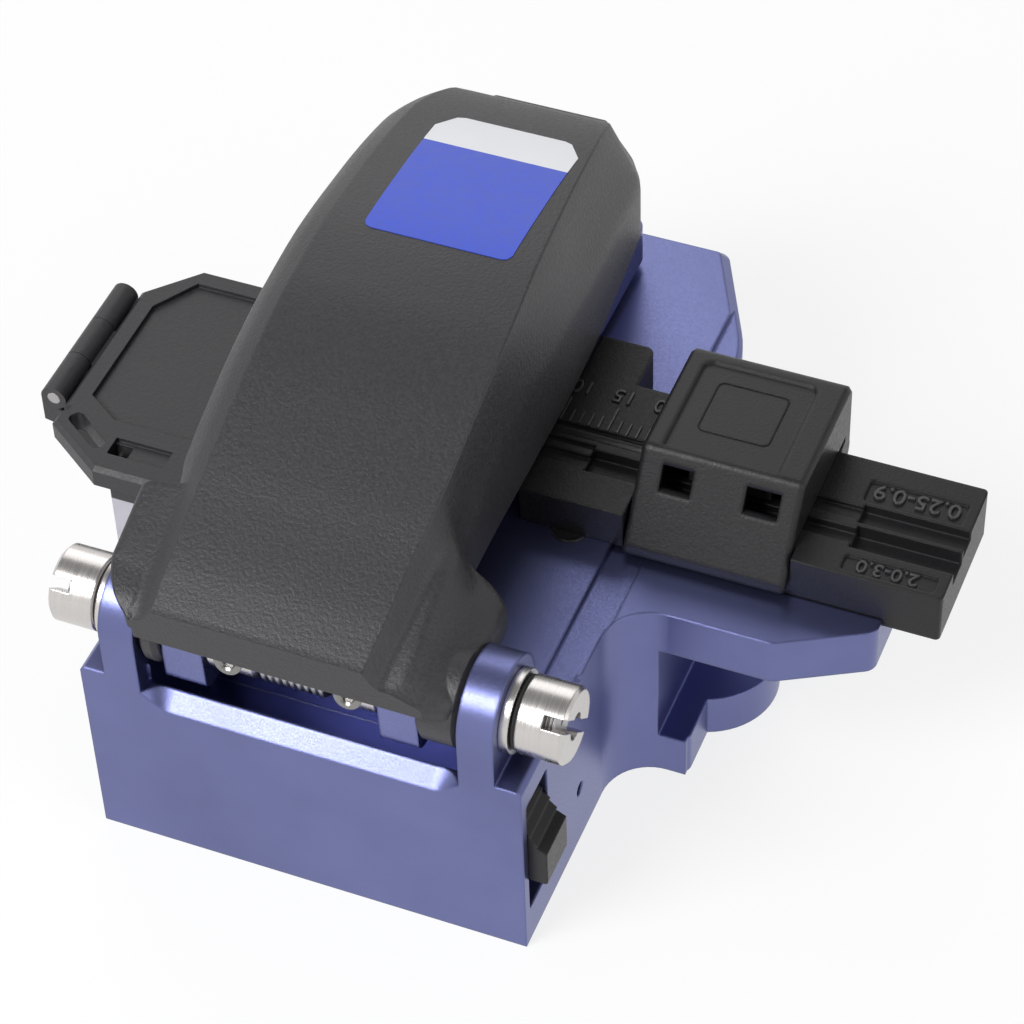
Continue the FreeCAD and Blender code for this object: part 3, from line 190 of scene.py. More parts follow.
def moulded(name, colour, rough=0.5, texture=2600.0, depth=0.00005, break_=0.00015, shine=0.5):
    """Dark nylon with a spark-eroded texture."""
    f = Finish(name).set(Metallic=0.0, IOR=1.48, Specular_IOR_Level=shine)
    drift = f.noise(70.0, 3.0)
    fine = f.noise(texture, 3.0, 0.6)
    speck = f.tones(fine, colour, 0.8, 1.25, 0.25, 0.75)
    cloud = f.ramp(drift, ((0.3, (0.95, 0.95, 0.95)), (0.7, (1.0, 1.0, 1.0))))
    f.to("Base Color", f.mix(0.5, speck, cloud, "MULTIPLY"))
    f.to("Roughness", f.span(fine, 0.3, 0.7, rough - 0.06, rough + 0.08))
    f.to("Normal", f.bump(fine, depth, 0.9, f.edge(break_)))
    return f.material


def steel(name, colour, rough=0.3, stretch=(5000.0, 120.0, 120.0)):
    """Turned or ground steel with fine lines."""
    f = Finish(name).set(Metallic=1.0)
    lines = f.noise(1.0, 2.0, 0.5, stretch)
    f.to("Base Color", f.tones(lines, colour, 0.97, 1.02))
    f.to("Roughness", f.span(lines, 0.3, 0.7, rough - 0.03, rough + 0.04))
    f.to("Normal", f.bump(lines, 0.000004, 0.2, f.edge(0.0002)))
    return f.material


def rubber(name, colour):
    """Dull rubber with a fine grain."""
    f = Finish(name).set(Metallic=0.0, IOR=1.5)
    grain = f.noise(1800.0, 3.0)
    f.to("Base Color", f.tones(grain, colour, 0.8, 1.3))
    f.to("Roughness", f.span(grain, 0.3, 0.7, 0.62, 0.78))
    f.to("Normal", f.bump(grain, 0.00003, 0.4))
    return f.material


def printed(name, ground, band, edge_y):
    """The label film: a plain ground with a plain pale band at its front end."""
    f = Finish(name).set(Metallic=0.0, IOR=1.46)
    split = f.nodes.new("ShaderNodeSeparateXYZ")
    f.link(f.place, split.inputs["Vector"])
    blur = 0.00004
    in_band = f.span(split.outputs["Y"], edge_y - blur, edge_y + blur, 0.0, 1.0)
    mottle = f.noise(900.0, 2.0)
    tone = f.tones(mottle, ground, 0.94, 1.05, 0.35, 0.65)
    f.to("Base Color", f.mix(in_band, tone, (*band, 1.0)))
    f.to("Roughness", f.span(mottle, 0.3, 0.7, 0.3, 0.4))
    return f.material


def translucent(name, colour):
    """Milky grey moulding of the scrap bin."""
    f = Finish(name).set(Metallic=0.0, IOR=1.46, Transmission_Weight=0.25)
    mist = f.noise(140.0, 3.0)
    f.to("Base Color", f.tones(mist, colour, 0.92, 1.06))
    f.to("Roughness", f.span(mist, 0.3, 0.7, 0.32, 0.46))
    f.to("Normal", f.bump(f.noise(1500.0), 0.00002, 0.3))
    return f.material


BLUE = (0.150, 0.165, 0.345)
BLACK = (0.030, 0.029, 0.032)
BAND_EDGE = ahead(57.0) * MM
F_BODY = anodised("anodised_blue", BLUE)
F_ARM = anodised("anodised_arm", shade(BLUE, 1.1), 0.3)
F_NYLON = moulded("textured_nylon", BLACK)
F_SMOOTH = moulded("smooth_nylon", shade(BLACK, 0.45), 0.34, 3800.0, 0.00002, 0.0003, 0.3)
F_FINE = moulded("fine_nylon", shade(BLACK, 0.42), 0.38, 3400.0, 0.00003, 0.00035, 0.3)
F_CLAMP = moulded("clamp_nylon", shade(BLACK, 0.5), 0.38, 3400.0, 0.00003, 0.0006, 0.35)
F_STEEL = steel("turned_steel", (0.60, 0.575, 0.56), 0.27)
# The set screws' steel is darkened as painted shade, so their hex sockets read as dark recesses.
F_SCREW_PAINTED_SHADE = steel("screw_steel_painted_shade", (0.26, 0.255, 0.25), 0.24)
# Dark steel of the spring, stud and screws; on the collector pin the same darkness is painted shade
# of its hollow end.
F_DARK_STEEL_AND_PIN_SHADE = steel("spring_steel_and_pin_shade", (0.42, 0.41, 0.41), 0.28)
F_GROUND = steel("ground_steel", (0.62, 0.62, 0.63), 0.2, (300.0, 9000.0, 300.0))
F_RUBBER = rubber("black_rubber", (0.018, 0.018, 0.019))
F_PAD = rubber("pad_rubber", (0.03, 0.03, 0.032))
F_LABEL = printed("label_film", (0.028, 0.07, 0.54), (0.74, 0.75, 0.78), BAND_EDGE)
F_COVER = moulded("cover_nylon", BLACK, 0.44, 2800.0, 0.00007, 0.0001)
F_MARK = moulded("raised_marks", BLACK, 0.3, 3800.0, 0.00001, 0.0001)
F_BIN = translucent("milky_plastic", (0.62, 0.61, 0.66))
F_BLADE = steel("blade_metal", (0.5, 0.51, 0.54), 0.16)
F_MACHINED = steel("machined_aluminium", (0.55, 0.56, 0.58), 0.3)

NODE_FINISH = {
    "base_body": F_BODY,
    "lid_arm": F_ARM,
    "bottom_plate": F_NYLON,
    "guide_rods": F_GROUND,
    "blade_carriage": F_MACHINED,
    "blade_wheel": F_BLADE,
    "label_plate": F_LABEL,
    "torsion_spring": F_DARK_STEEL_AND_PIN_SHADE,
    "collector_bin": F_BIN,
    "collector_frame": F_NYLON,
    "collector_door": F_NYLON,
    # The pin takes the darker steel as painted shade of its hollow end.
    "collector_pin": F_DARK_STEEL_AND_PIN_SHADE,
    "lid_cover": F_NYLON,
    "lock_slide": F_SMOOTH,
    "ruler_platform": F_FINE,
    "fibre_holder": F_FINE,
    "clamp_lid": F_CLAMP,
    "clamp_pad": F_PAD,
    "lid_bumper": F_RUBBER,
    "scrap_roller_lower": F_PAD,
    "scrap_roller_upper": F_PAD,
    "anvil": F_GROUND,
    "collar_screws": F_DARK_STEEL_AND_PIN_SHADE,
}


def finish_for(name):
    """The finish of a node; what isn't listed or made of rubber is turned steel."""
    if name.startswith(("o_ring", "lower_rubber", "upper_rubber")):
        return F_RUBBER
    return NODE_FINISH.get(name, F_STEEL)


for name, node in NODES.items():
    material = finish_for(name)
    if not node.material_slots:
        node.data.materials.append(material)
    for slot in node.material_slots:
        slot.material = material


# ------------------------------------------------------------------ shared mesh helpers
def linked(name, data):
    thing = bpy.data.objects.new(name, data)
    bpy.context.collection.objects.link(thing)
    return thing


def written(work, name):
    """The bmesh as a mesh of its own; the bmesh is freed."""
    mesh = bpy.data.meshes.new(name)
    work.to_mesh(mesh)
    work.free()
    return mesh


def in_order(work, name):
    """The same, with points and faces sorted, where cutting leaves them in no fixed order."""
    verts = sorted(work.verts, key=lambda v: tuple(v.co))
    index = {v: i for i, v in enumerate(verts)}
    faces = []
    for face in work.faces:
        loop = [index[v] for v in face.verts]
        first = loop.index(min(loop))
        faces.append(loop[first:] + loop[:first])
    mesh = bpy.data.meshes.new(name)
    mesh.from_pydata([v.co.copy() for v in verts], [], sorted(faces))
    work.free()
    return mesh


def drawn(name, verts, faces):
    """A mesh from points in millimetres."""
    mesh = bpy.data.meshes.new(name)
    mesh.from_pydata([mm(*v) for v in verts], [], faces)
    return mesh


def add_piece(name, mesh, material, body, smooth=32.0, turn_out=True):
    """A new piece on a body, with its faces turned outwards unless they are already."""
    if turn_out:
        work = bmesh.new()
        work.from_mesh(mesh)
        bmesh.ops.remove_doubles(work, verts=work.verts, dist=1e-7)
        bmesh.ops.recalc_face_normals(work, faces=work.faces)
        work.to_mesh(mesh)
        work.free()
    mesh.shade_smooth()
    mesh.set_sharp_from_angle(angle=math.radians(smooth))
    mesh.materials.clear()
    mesh.materials.append(material)
    thing = linked(name, mesh)
    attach(thing, body)
    return thing


def settle(thing):
    """The evaluated mesh of an object, as plain data; the object itself is removed."""
    graph = bpy.context.evaluated_depsgraph_get()
    mesh = bpy.data.meshes.new_from_object(thing.evaluated_get(graph))
    bpy.data.objects.remove(thing)
    return mesh


def lean(slopes, k):
    """The slope at point k of a monotone cubic, from the slopes between its points."""
    if k in (0, len(slopes)):
        return slopes[min(k, len(slopes) - 1)]
    a, b = slopes[k - 1], slopes[k]
    return 0.0 if a * b <= 0 else 2 * a * b / (a + b)


def follow(rows, at):
    """One row read between the given rows, with a monotone cubic on their first number."""
    xs = [row[0] for row in rows]
    i = max([k for k in range(len(xs) - 1) if xs[k] <= at + 1e-9] + [0])
    h = xs[i + 1] - xs[i]
    t = min(1.0, max(0.0, (at - xs[i]) / h))
    here, onward = 2 * t ** 3 - 3 * t ** 2 + 1, 3 * t ** 2 - 2 * t ** 3
    lean_here, lean_onward = t ** 3 - 2 * t ** 2 + t, t ** 3 - t ** 2
    out = [at]
    for c in range(1, len(rows[0])):
        slopes = [(rows[k + 1][c] - rows[k][c]) / (xs[k + 1] - xs[k]) for k in range(len(xs) - 1)]
        out.append(rows[i][c] * here + lean(slopes, i) * h * lean_here
                   + rows[i + 1][c] * onward + lean(slopes, i + 1) * h * lean_onward)
    return tuple(out)


def rounded(points, radii):
    """An open outline with its inner corners rounded; the number of points never changes."""
    steps = 4
    most = 0.48  # of the length of a side
    out = [Vector(points[0])]
    for i in range(1, len(points) - 1):
        here = Vector(points[i])
        back = Vector(points[i - 1]) - here
        onward = Vector(points[i + 1]) - here
        first = here + back.normalized() * min(radii[i], back.length * most)
        last = here + onward.normalized() * min(radii[i], onward.length * most)
        for k in range(steps + 1):
            t = k / steps
            out.append(first * (1 - t) ** 2 + here * 2 * t * (1 - t) + last * t ** 2)
    out.append(Vector(points[-1]))
    return out


def join_rings(work, rings, across):
    """Four-sided faces between each ring of points and the next, round and round if across."""
    made = []
    for a, b in zip(rings, rings[1:]):
        for i in range(len(a) if across else len(a) - 1):
            j = (i + 1) % len(a)
            made.append(work.faces.new((a[i], a[j], b[j], b[i])))
    return made


def lathed(work, shape, sides=72):
    """A closed outline of (x, radius) spun about the hinge axis."""
    rings = []
    for k in range(sides):
        angle = 2 * math.pi * k / sides
        rings.append([work.verts.new(mm(x, HINGE[0] + r * math.cos(angle),
                                        HINGE[1] + r * math.sin(angle))) for x, r in shape])
    made = join_rings(work, rings + rings[:1], True)
    bmesh.ops.recalc_face_normals(work, faces=made)


# ------------------------------------------------------------------ lid cover
# Each row: distance from the rear; height of the rim; the left cove (x, z); the left and right
# ends of the top and its height; and, as (x, z), the right groove, ridge, shoulder and wall.
COVER = (
    (-0.25, 30.1, -14.9, 32.6, -13.7, 7.6, 34.12, 9.0, 32.3, 10.3, 32.35, 11.6, 31.8, 13.4, 31.3),
    (0.5, 29.8, -15.1, 33.15, -13.7, 7.7, 34.55, 9.1, 32.65, 10.6, 32.85, 12.2, 32.2, 15.1, 31.0),
    (1.8, 29.5, -15.3, 33.9, -13.7, 7.8, 35.25, 9.25, 33.3, 10.8, 33.6, 12.8, 32.8, 16.0, 31.1),
    (4.4, 29.2, -15.3, 35.1, -13.7, 8.1, 36.58, 9.55, 34.5, 11.1, 34.8, 13.2, 33.3, 16.1, 31.8),
    (10.9, 29.0, -15.4, 38.0, -13.7, 8.45, 39.4, 9.9, 37.2, 11.3, 36.8, 13.3, 33.9, 16.1, 32.1),
    (13.6, 29.0, -15.5, 39.3, -13.6, 8.7, 40.6, 10.05, 38.3, 11.2, 37.2, 12.8, 33.7, 15.9, 31.8),
    (15.4, 28.8, -15.5, 40.1, -13.6, 8.8, 41.35, 9.95, 38.6, 10.6, 37.0, 11.3, 34.2, 14.4, 31.6),
    (16.6, 28.8, -15.5, 40.6, -13.6, 8.9, 41.83, 9.7, 38.8, 10.0, 37.0, 10.2, 35.2, 11.2, 32.0),
    (18.5, 28.9, -15.5, 41.4, -13.6, 9.0, 42.58, 9.55, 39.4, 9.8, 37.6, 10.0, 36.0, 10.4, 33.4),
    (27.0, 29.0, -15.5, 44.4, -13.6, 9.1, 45.6, 9.5, 43.0, 9.7, 41.7, 9.9, 40.4, 10.3, 37.8),
    (34.0, 29.0, -15.5, 45.8, -13.6, 8.8, 47.0, 9.3, 44.1, 9.55, 42.7, 9.8, 41.3, 10.3, 38.4),
    (42.0, 29.0, -15.5, 46.4, -13.6, 8.1, 47.5, 9.0, 44.6, 9.35, 43.1, 9.7, 41.6, 10.3, 38.6),
    (52.0, 29.0, -15.5, 45.7, -13.6, 7.2, 46.9, 8.1, 43.8, 8.55, 42.2, 9.0, 40.7, 10.0, 37.6),
    (62.0, 29.0, -15.3, 44.1, -13.4, 6.2, 45.4, 7.2, 42.6, 7.7, 41.2, 8.2, 39.8, 9.2, 37.0),
    (69.0, 29.0, -14.0, 41.8, -12.1, 5.2, 43.0, 6.3, 40.7, 6.85, 39.5, 7.4, 38.4, 8.5, 36.0),
    (73.4, 29.0, -11.6, 37.9, -9.7, 3.4, 39.1, 4.5, 37.3, 5.05, 36.4, 5.6, 35.6, 6.6, 34.0),
)
# Each row: distance from the rear; the left wall (x) and the underside (z) of the flange that
# leaves it; the edge of the flange (x, z).
FLANGE = (
    (-0.25, -15.9, 31.2, -16.4, 32.3),
    (0.35, -16.0, 31.6, -16.9, 32.9),
    (0.9, -16.1, 31.95, -17.6, 33.25),
    (1.8, -16.1, 32.65, -18.6, 33.85),
    (3.3, -16.1, 33.3, -19.5, 34.5),
    (4.8, -16.1, 33.75, -19.9, 35.2),
    (8.4, -16.1, 33.9, -19.9, 36.6),
    (11.4, -16.1, 34.6, -19.9, 37.7),
    (11.9, -16.1, 34.9, -19.6, 37.8),
    (12.3, -16.2, 35.4, -16.7, 37.3),
    (13.6, -16.76, 36.0, -16.8, 37.8),
    (15.4, -17.16, 36.6, -17.2, 38.4),
    (18.5, -17.16, 38.0, -17.2, 39.8),
    (27.0, -17.16, 40.9, -17.2, 42.7),
    (34.0, -17.16, 42.3, -17.2, 44.1),
    (42.0, -17.16, 43.0, -17.2, 44.8),
    (52.0, -17.16, 42.2, -17.2, 44.0),
    (62.0, -16.96, 40.7, -17.0, 42.5),
    (69.0, -15.66, 38.3, -15.7, 40.1),
    (73.4, -13.26, 34.5, -13.3, 36.3),
)
COVER_ROUNDS = (0, 0.3, 0.4, 0.8, 0.7, 0.22, 0.22, 0.8, 0.7, 1.0, 1.1, 0)
COVER_WALL = 1.2
REAR_LIMIT = ahead(-0.4)
CHEEKS = ((11.9, 16.1), (-16.1, -14.2))
CHEEK_BORE, CHEEK_RADIUS, CHEEK_BREAK = 1.94, 4.9, 0.5


def cover_outline(distance):
    """The outer section of the cover there, from its left rim over the top to its right rim."""
    _, rim, xv, zv, x0, x1, top, x2, z2, xq, zq, x3, z3, xr, zr = follow(COVER, distance)
    _, xw, low, xf, zf = follow(FLANGE, distance)
    points = [(xw, rim), (xw, low), (xf, low), (xf, zf), (xv, zv), (x0, top), (x1, top), (x2, z2),
              (xq, zq), (x3, z3), (xr, zr), (xr, rim)]
    return rounded(points, COVER_ROUNDS)


def cover_top(distance):
    return follow(COVER, distance)[6]


def drawn_in(ring, amount):
    """The section made smaller towards its middle, with its two ends kept at their height."""
    middle = sum((p for p in ring), Vector((0, 0))) / len(ring)
    out = [p + (middle - p).normalized() * amount for p in ring]
    for end in (0, len(ring) - 1):
        x, z = ring[end]
        out[end] = Vector((x + math.copysign(amount, middle.x - x), z))
    return out


def cover_rings():
    """Sections from rear to front, close together over the hood, with a break at both ends."""
    places = {row[0] for row in COVER + FLANGE}
    places |= {0.5 * k for k in range(1, 40)} | {20.0 + 1.6 * k for k in range(34)}
    rings = [(place, cover_outline(place)) for place in sorted(places)]
    rear, front = rings[0], rings[-1]
    rings.insert(0, (rear[0] - 0.15, drawn_in(rear[1], 0.15)))
    rings += [(front[0] + 0.7, drawn_in(front[1], 0.5)), (front[0] + 1.0, drawn_in(front[1], 1.2))]
    return rings


def make_cover():
    """The moulded cover: a thick skin over the sections, and a cheek at each hinge lug."""
    rings = cover_rings()
    width = len(rings[0][1])
    last = (len(rings) - 1) * width
    verts = [(p.x, ahead(distance), p.y) for distance, ring in rings for p in ring]
    faces = [(a, a + 1, a + 1 + width, a + width)
             for start in range(0, last, width) for a in range(start, start + width - 1)]
    faces += [tuple(range(width)), tuple(last + k for k in range(width))]
    mesh = drawn("cover_skin", verts, faces)
    work = bmesh.new()
    work.from_mesh(mesh)
    bmesh.ops.recalc_face_normals(work, faces=work.faces)
    highest = max(work.faces, key=lambda f: f.calc_center_median().z)
    if highest.normal.z < 0:
        bmesh.ops.reverse_faces(work, faces=work.faces)
    work.to_mesh(mesh)
    work.free()
    skin = linked("cover_skin", mesh)
    wall = skin.modifiers.new("wall", "SOLIDIFY")
    wall.thickness = COVER_WALL * MM
    wall.offset = -1.0
    shell = settle(skin)
    work = bmesh.new()
    work.from_mesh(shell)
    for v in work.verts:
        v.co.y = max(v.co.y, REAR_LIMIT * MM)
    for x0, x1 in CHEEKS:
        start, end = x0 + CHEEK_BREAK, x1 - CHEEK_BREAK
        side = CHEEK_RADIUS - CHEEK_BREAK
        lathed(work, ((x0, CHEEK_BORE), (x0, side), (start, CHEEK_RADIUS), (end, CHEEK_RADIUS),
                      (x1, side), (x1, CHEEK_BORE)), 64)
    work.to_mesh(shell)
    work.free()
    cover = add_piece("cover_shell", shell, F_COVER, "lid", 30.0, turn_out=False)
    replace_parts(cover, "lid_cover")


# The film's corners, as (x, distance from the rear): cut at the front, rounded at the rear.
LABEL = ((-9.6, 42.0), (-9.9, 42.6), (-9.9, 59.9), (-8.4, 62.1), (-7.6, 62.4), (3.1, 62.4),
         (3.9, 62.1), (5.4, 59.9), (5.4, 42.6), (5.1, 42.0), (4.5, 41.8), (-9.0, 41.8))
LABEL_PROUD, LABEL_SUNK = 0.07, 0.4


def make_label():
    """The film on the crown, cut across often enough to follow its curve."""
    work = bmesh.new()
    work.faces.new([work.verts.new((x, distance, 0)) for x, distance in LABEL])
    for cut in [42.8 + k * 0.95 for k in range(21)]:
        geometry = list(work.verts) + list(work.edges) + list(work.faces)
        bmesh.ops.bisect_plane(work, geom=geometry, plane_co=(0, cut, 0), plane_no=(0, 1, 0))
    grown = bmesh.ops.extrude_face_region(work, geom=list(work.faces))
    lifted = {v for v in grown["geom"] if isinstance(v, bmesh.types.BMVert)}
    for v in work.verts:
        level = cover_top(v.co.y) + (LABEL_PROUD if v in lifted else -LABEL_SUNK)
        v.co = mm(v.co.x, ahead(v.co.y), level)
    bmesh.ops.recalc_face_normals(work, faces=work.faces)
    film = add_piece("label_film", in_order(work, "label_film"), F_LABEL, "lid", 40.0)
    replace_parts(film, "label_plate")


# ------------------------------------------------------------------ repeated shapes
class Tree:
    """A geometry tree with named inputs, run once and turned into a plain mesh."""

    def __init__(self, name):
        self.tree = bpy.data.node_groups.new(name, "GeometryNodeTree")
        self.tree.interface.new_socket("Geometry", in_out="OUTPUT",
                                       socket_type="NodeSocketGeometry")
        self.values = {}
        self.inlet = self.tree.nodes.new("NodeGroupInput")
        self.outlet = self.tree.nodes.new("NodeGroupOutput")

    def size(self, name, value, kind="NodeSocketFloat"):
        """A named input; it is handed on as a call, since the sockets move as inputs are added."""
        socket = self.tree.interface.new_socket(name, in_out="INPUT", socket_type=kind)
        self.values[socket.identifier] = value
        return lambda: self.inlet.outputs[name]

    def node(self, kind, links=None, **options):
        """The first output of a new node; each link is a socket, a named input or a value."""
        node = self.tree.nodes.new(kind)
        for key, value in options.items():
            setattr(node, key, value)
        for key, value in (links or {}).items():
            socket = node.inputs[key]
            if callable(value):
                value = value()
            if isinstance(value, bpy.types.NodeSocket):
                self.tree.links.new(value, socket)
            else:
                socket.default_value = value
        return node.outputs[0]

    def finish(self, geometry, material):
        """Real instances with their material, as the plain mesh of the whole tree."""
        real = self.node("GeometryNodeRealizeInstances", {"Geometry": geometry})
        coat = self.node("GeometryNodeSetMaterial", {"Geometry": real, "Material": material})
        self.tree.links.new(coat, self.outlet.inputs[0])
        carrier = linked("carrier", bpy.data.meshes.new("carrier"))
        modifier = carrier.modifiers.new("shape", "NODES")
        modifier.node_group = self.tree
        for identifier, value in self.values.items():
            modifier[identifier] = value
        return settle(carrier)


SPRING_START = -4.0


def make_spring():
    """The lid's torsion spring: a close coil round the shaft."""
    t = Tree("coil")
    turns = t.size("Turns", 9.0)
    radius = t.size("Coil radius", 3.5 * MM)
    length = t.size("Length", 6.6 * MM)
    wire = t.size("Wire radius", 0.36 * MM)
    spiral = t.node("GeometryNodeCurveSpiral", {
        "Resolution": 40, "Rotations": turns, "Start Radius": radius, "End Radius": radius,
        "Height": length})
    profile = t.node("GeometryNodeCurvePrimitiveCircle", {"Resolution": 10, "Radius": wire})
    tube = t.node("GeometryNodeCurveToMesh", {
        "Curve": spiral, "Profile Curve": profile, "Fill Caps": True})
    along_x = t.node("GeometryNodeTransform", {
        "Geometry": tube, "Rotation": (0, math.pi / 2, 0), "Translation": mm(SPRING_START, *HINGE)})
    mesh = t.finish(along_x, F_DARK_STEEL_AND_PIN_SHADE)
    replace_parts(add_piece("spring_coil", mesh, F_DARK_STEEL_AND_PIN_SHADE, "base", 60.0), "torsion_spring")


FIRST_TICK = (10.0, ahead(42.15), RULER_TOP + 0.06)


def make_ticks():
    """Raised ticks of the ruler, one a millimetre, every fifth one long."""
    t = Tree("ticks")
    count = t.size("Count", 10, "NodeSocketInt")
    pitch = t.size("Pitch", 1.0 * MM)
    wide = t.size("Width", 0.24 * MM)
    short = t.size("Length", 1.7 * MM)
    tall = t.size("Height", 0.16 * MM)
    stretch = t.size("Long share", 1.9)
    step = t.node("ShaderNodeCombineXYZ", {"X": pitch})
    line = t.node("GeometryNodeMeshLine", {
        "Count": count, "Start Location": mm(*FIRST_TICK), "Offset": step})
    box = t.node("ShaderNodeCombineXYZ", {"X": wide, "Y": short, "Z": tall})
    cube = t.node("GeometryNodeMeshCube", {"Size": box})
    half = t.node("ShaderNodeMath", {0: short, 1: 0.5}, operation="MULTIPLY")
    shift = t.node("ShaderNodeCombineXYZ", {"Y": half})
    bar = t.node("GeometryNodeTransform", {"Geometry": cube, "Translation": shift})
    index = t.node("GeometryNodeInputIndex")
    place_in_five = t.node("ShaderNodeMath", {0: index, 1: 5.0}, operation="MODULO")
    is_long = t.node("ShaderNodeMath", {0: place_in_five, 1: 0.5}, operation="LESS_THAN")
    grow = t.node("ShaderNodeMapRange", {"Value": is_long, "To Min": 1.0, "To Max": stretch})
    scale = t.node("ShaderNodeCombineXYZ", {"X": 1.0, "Y": grow, "Z": 1.0})
    many = t.node("GeometryNodeInstanceOnPoints", {"Points": line, "Instance": bar, "Scale": scale})
    add_piece("ruler_ticks", t.finish(many, F_MARK), F_MARK, "base", 20.0)


FIRST_SCREW = (-6.85, HINGE[0] - 3.6, HINGE[1] + 0.5)


def make_screws():
    """Socket set screws of the two collars, standing out to the rear."""
    t = Tree("set_screws")
    radius = t.size("Radius", 1.42 * MM)
    key = t.size("Socket radius", 0.82 * MM)
    depth = t.size("Length", 2.0 * MM)
    gap = t.size("Spacing", 12.1 * MM)
    body = t.node("GeometryNodeMeshCylinder", {"Vertices": 40, "Radius": radius, "Depth": depth})
    hexagon = t.node("GeometryNodeMeshCylinder", {"Vertices": 6, "Radius": key, "Depth": depth})
    socket = t.node("GeometryNodeTransform", {"Geometry": hexagon, "Translation": (0, 0, 0.9 * MM)})
    cone = t.node("GeometryNodeMeshCone", {
        "Vertices": 40, "Radius Top": 1.2 * MM, "Radius Bottom": 0.5 * MM, "Depth": 0.5 * MM})
    dish = t.node("GeometryNodeTransform", {"Geometry": cone, "Translation": (0, 0, 0.62 * MM)})
    dished = t.node("GeometryNodeMeshBoolean", {"Mesh 1": body, "Mesh 2": dish},
                    operation="DIFFERENCE")
    hollow = t.node("GeometryNodeMeshBoolean", {"Mesh 1": dished, "Mesh 2": socket},
                    operation="DIFFERENCE")
    tilted = t.node("GeometryNodeTransform", {
        "Geometry": hollow, "Rotation": (math.radians(80), 0, 0)})
    step = t.node("ShaderNodeCombineXYZ", {"X": gap})
    line = t.node("GeometryNodeMeshLine", {
        "Count": 2, "Start Location": mm(*FIRST_SCREW), "Offset": step})
    many = t.node("GeometryNodeInstanceOnPoints", {"Points": line, "Instance": tilted})
    screws = add_piece("set_screws", t.finish(many, F_SCREW_PAINTED_SHADE), F_SCREW_PAINTED_SHADE, "base", 30.0)
    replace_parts(screws, "collar_screws")


# ------------------------------------------------------------------ turned pieces of the shaft
COLLAR_BORE, COLLAR_RADIUS, COLLAR_BREAK = 2.1, 3.85, 0.4
LEFT_COLLAR_END, RIGHT_COLLAR_END = -4.6, 3.1


def make_collars():
    """The two clamping collars of the shaft, with a turned break at each end."""
    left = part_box("collar_left")[0][0] / MM
    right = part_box("hinge_hub")[1][0] / MM
    side = COLLAR_RADIUS - COLLAR_BREAK
    work = bmesh.new()
    for x0, x1 in ((left, LEFT_COLLAR_END), (RIGHT_COLLAR_END, right)):
        start, end = x0 + COLLAR_BREAK, x1 - COLLAR_BREAK
        lathed(work, ((x0, COLLAR_BORE), (x0, side), (start, COLLAR_RADIUS), (end, COLLAR_RADIUS),
                      (x1, side), (x1, COLLAR_BORE)))
    collars = add_piece("shaft_collars", written(work, "shaft_collars"), F_STEEL, "base", 30.0)
    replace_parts(collars, "collar_left", "collar_right", "hinge_bush", "hinge_hub")


CAP_BORE, CAP_RADIUS = 0.9, 3.8
SLOT_SIZE = (4.4, 12.0, 1.3)  # twice its depth, its length and its width
SLOT_TURN = 135
RING_RADIUS, RING_CORD = 3.42, 0.2
STUD_CORE, STUD_ROOT, STUD_CREST, STUD_PITCH = 0.3, 2.15, 2.4, 0.35


def make_cap(side, label):
    """An end cap of the shaft, slotted across, over a thin rubber ring and the shaft's stud."""
    near, far = (0, 1) if side > 0 else (1, 0)
    inner = abs(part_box("o_ring_" + label)[near][0]) / MM
    outer = abs(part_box("end_cap_" + label)[far][0]) / MM
    make_turned_cap(side, label, inner, outer)
    work = bmesh.new()
    turns = [2 * math.pi * k / 12 for k in range(12)]
    lathed(work, [(side * (inner + 0.22 + RING_CORD * math.cos(a)),
                   RING_RADIUS + RING_CORD * math.sin(a)) for a in turns])
    ring = add_piece("thin_ring_" + label, written(work, "thin_ring"), F_RUBBER, "base", 50.0)
    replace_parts(ring, "o_ring_" + label)
    make_stud(side, label, inner + 0.3, int((outer - inner - 1.6) / STUD_PITCH))


def make_turned_cap(side, label, inner, outer):
    """The cap itself: broken edges, a dished outer face and the slot."""
    base, full, brim, floor_of_dish = inner + 0.42, inner + 0.62, outer - 0.32, outer - 1.5
    outline = ((base, CAP_BORE), (base, 3.6), (full, CAP_RADIUS), (brim, CAP_RADIUS),
               (outer, 3.48), (outer, 1.35), (floor_of_dish, 1.15), (floor_of_dish, CAP_BORE))
    work = bmesh.new()
    lathed(work, [(side * x, radius) for x, radius in outline])
    stock = linked("cap_stock", written(work, "cap_stock"))
    work = bmesh.new()
    bmesh.ops.create_cube(work, size=1.0)
    for v in work.verts:
        v.co = mm(*(share * size for share, size in zip(v.co, SLOT_SIZE)))
    turn = Matrix.Rotation(math.radians(SLOT_TURN), 4, "X")
    work.transform(Matrix.Translation(mm(side * outer, *HINGE)) @ turn)
    cutter = linked("cap_slot", written(work, "cap_slot"))
    slot = stock.modifiers.new("slot", "BOOLEAN")
    slot.operation = "DIFFERENCE"
    slot.solver = "EXACT"
    slot.object = cutter
    mesh = settle(stock)
    bpy.data.objects.remove(cutter)
    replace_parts(add_piece("turned_cap_" + label, mesh, F_STEEL, "base", 30.0), "end_cap_" + label)


def make_stud(side, label, start, threads):
    """The threaded end of the shaft, seen through the slot."""
    end = start + STUD_PITCH * threads
    outline = [(start, STUD_CORE)]
    for k in range(threads):
        outline += [(start + STUD_PITCH * k, STUD_ROOT),
                    (start + STUD_PITCH * (k + 0.5), STUD_CREST)]
    outline += [(end, STUD_ROOT), (end, STUD_CORE)]
    work = bmesh.new()
    lathed(work, [(side * x, radius) for x, radius in outline], 48)
    add_piece("cap_stud_" + label, written(work, "cap_stud"), F_DARK_STEEL_AND_PIN_SHADE, "base", 30.0)


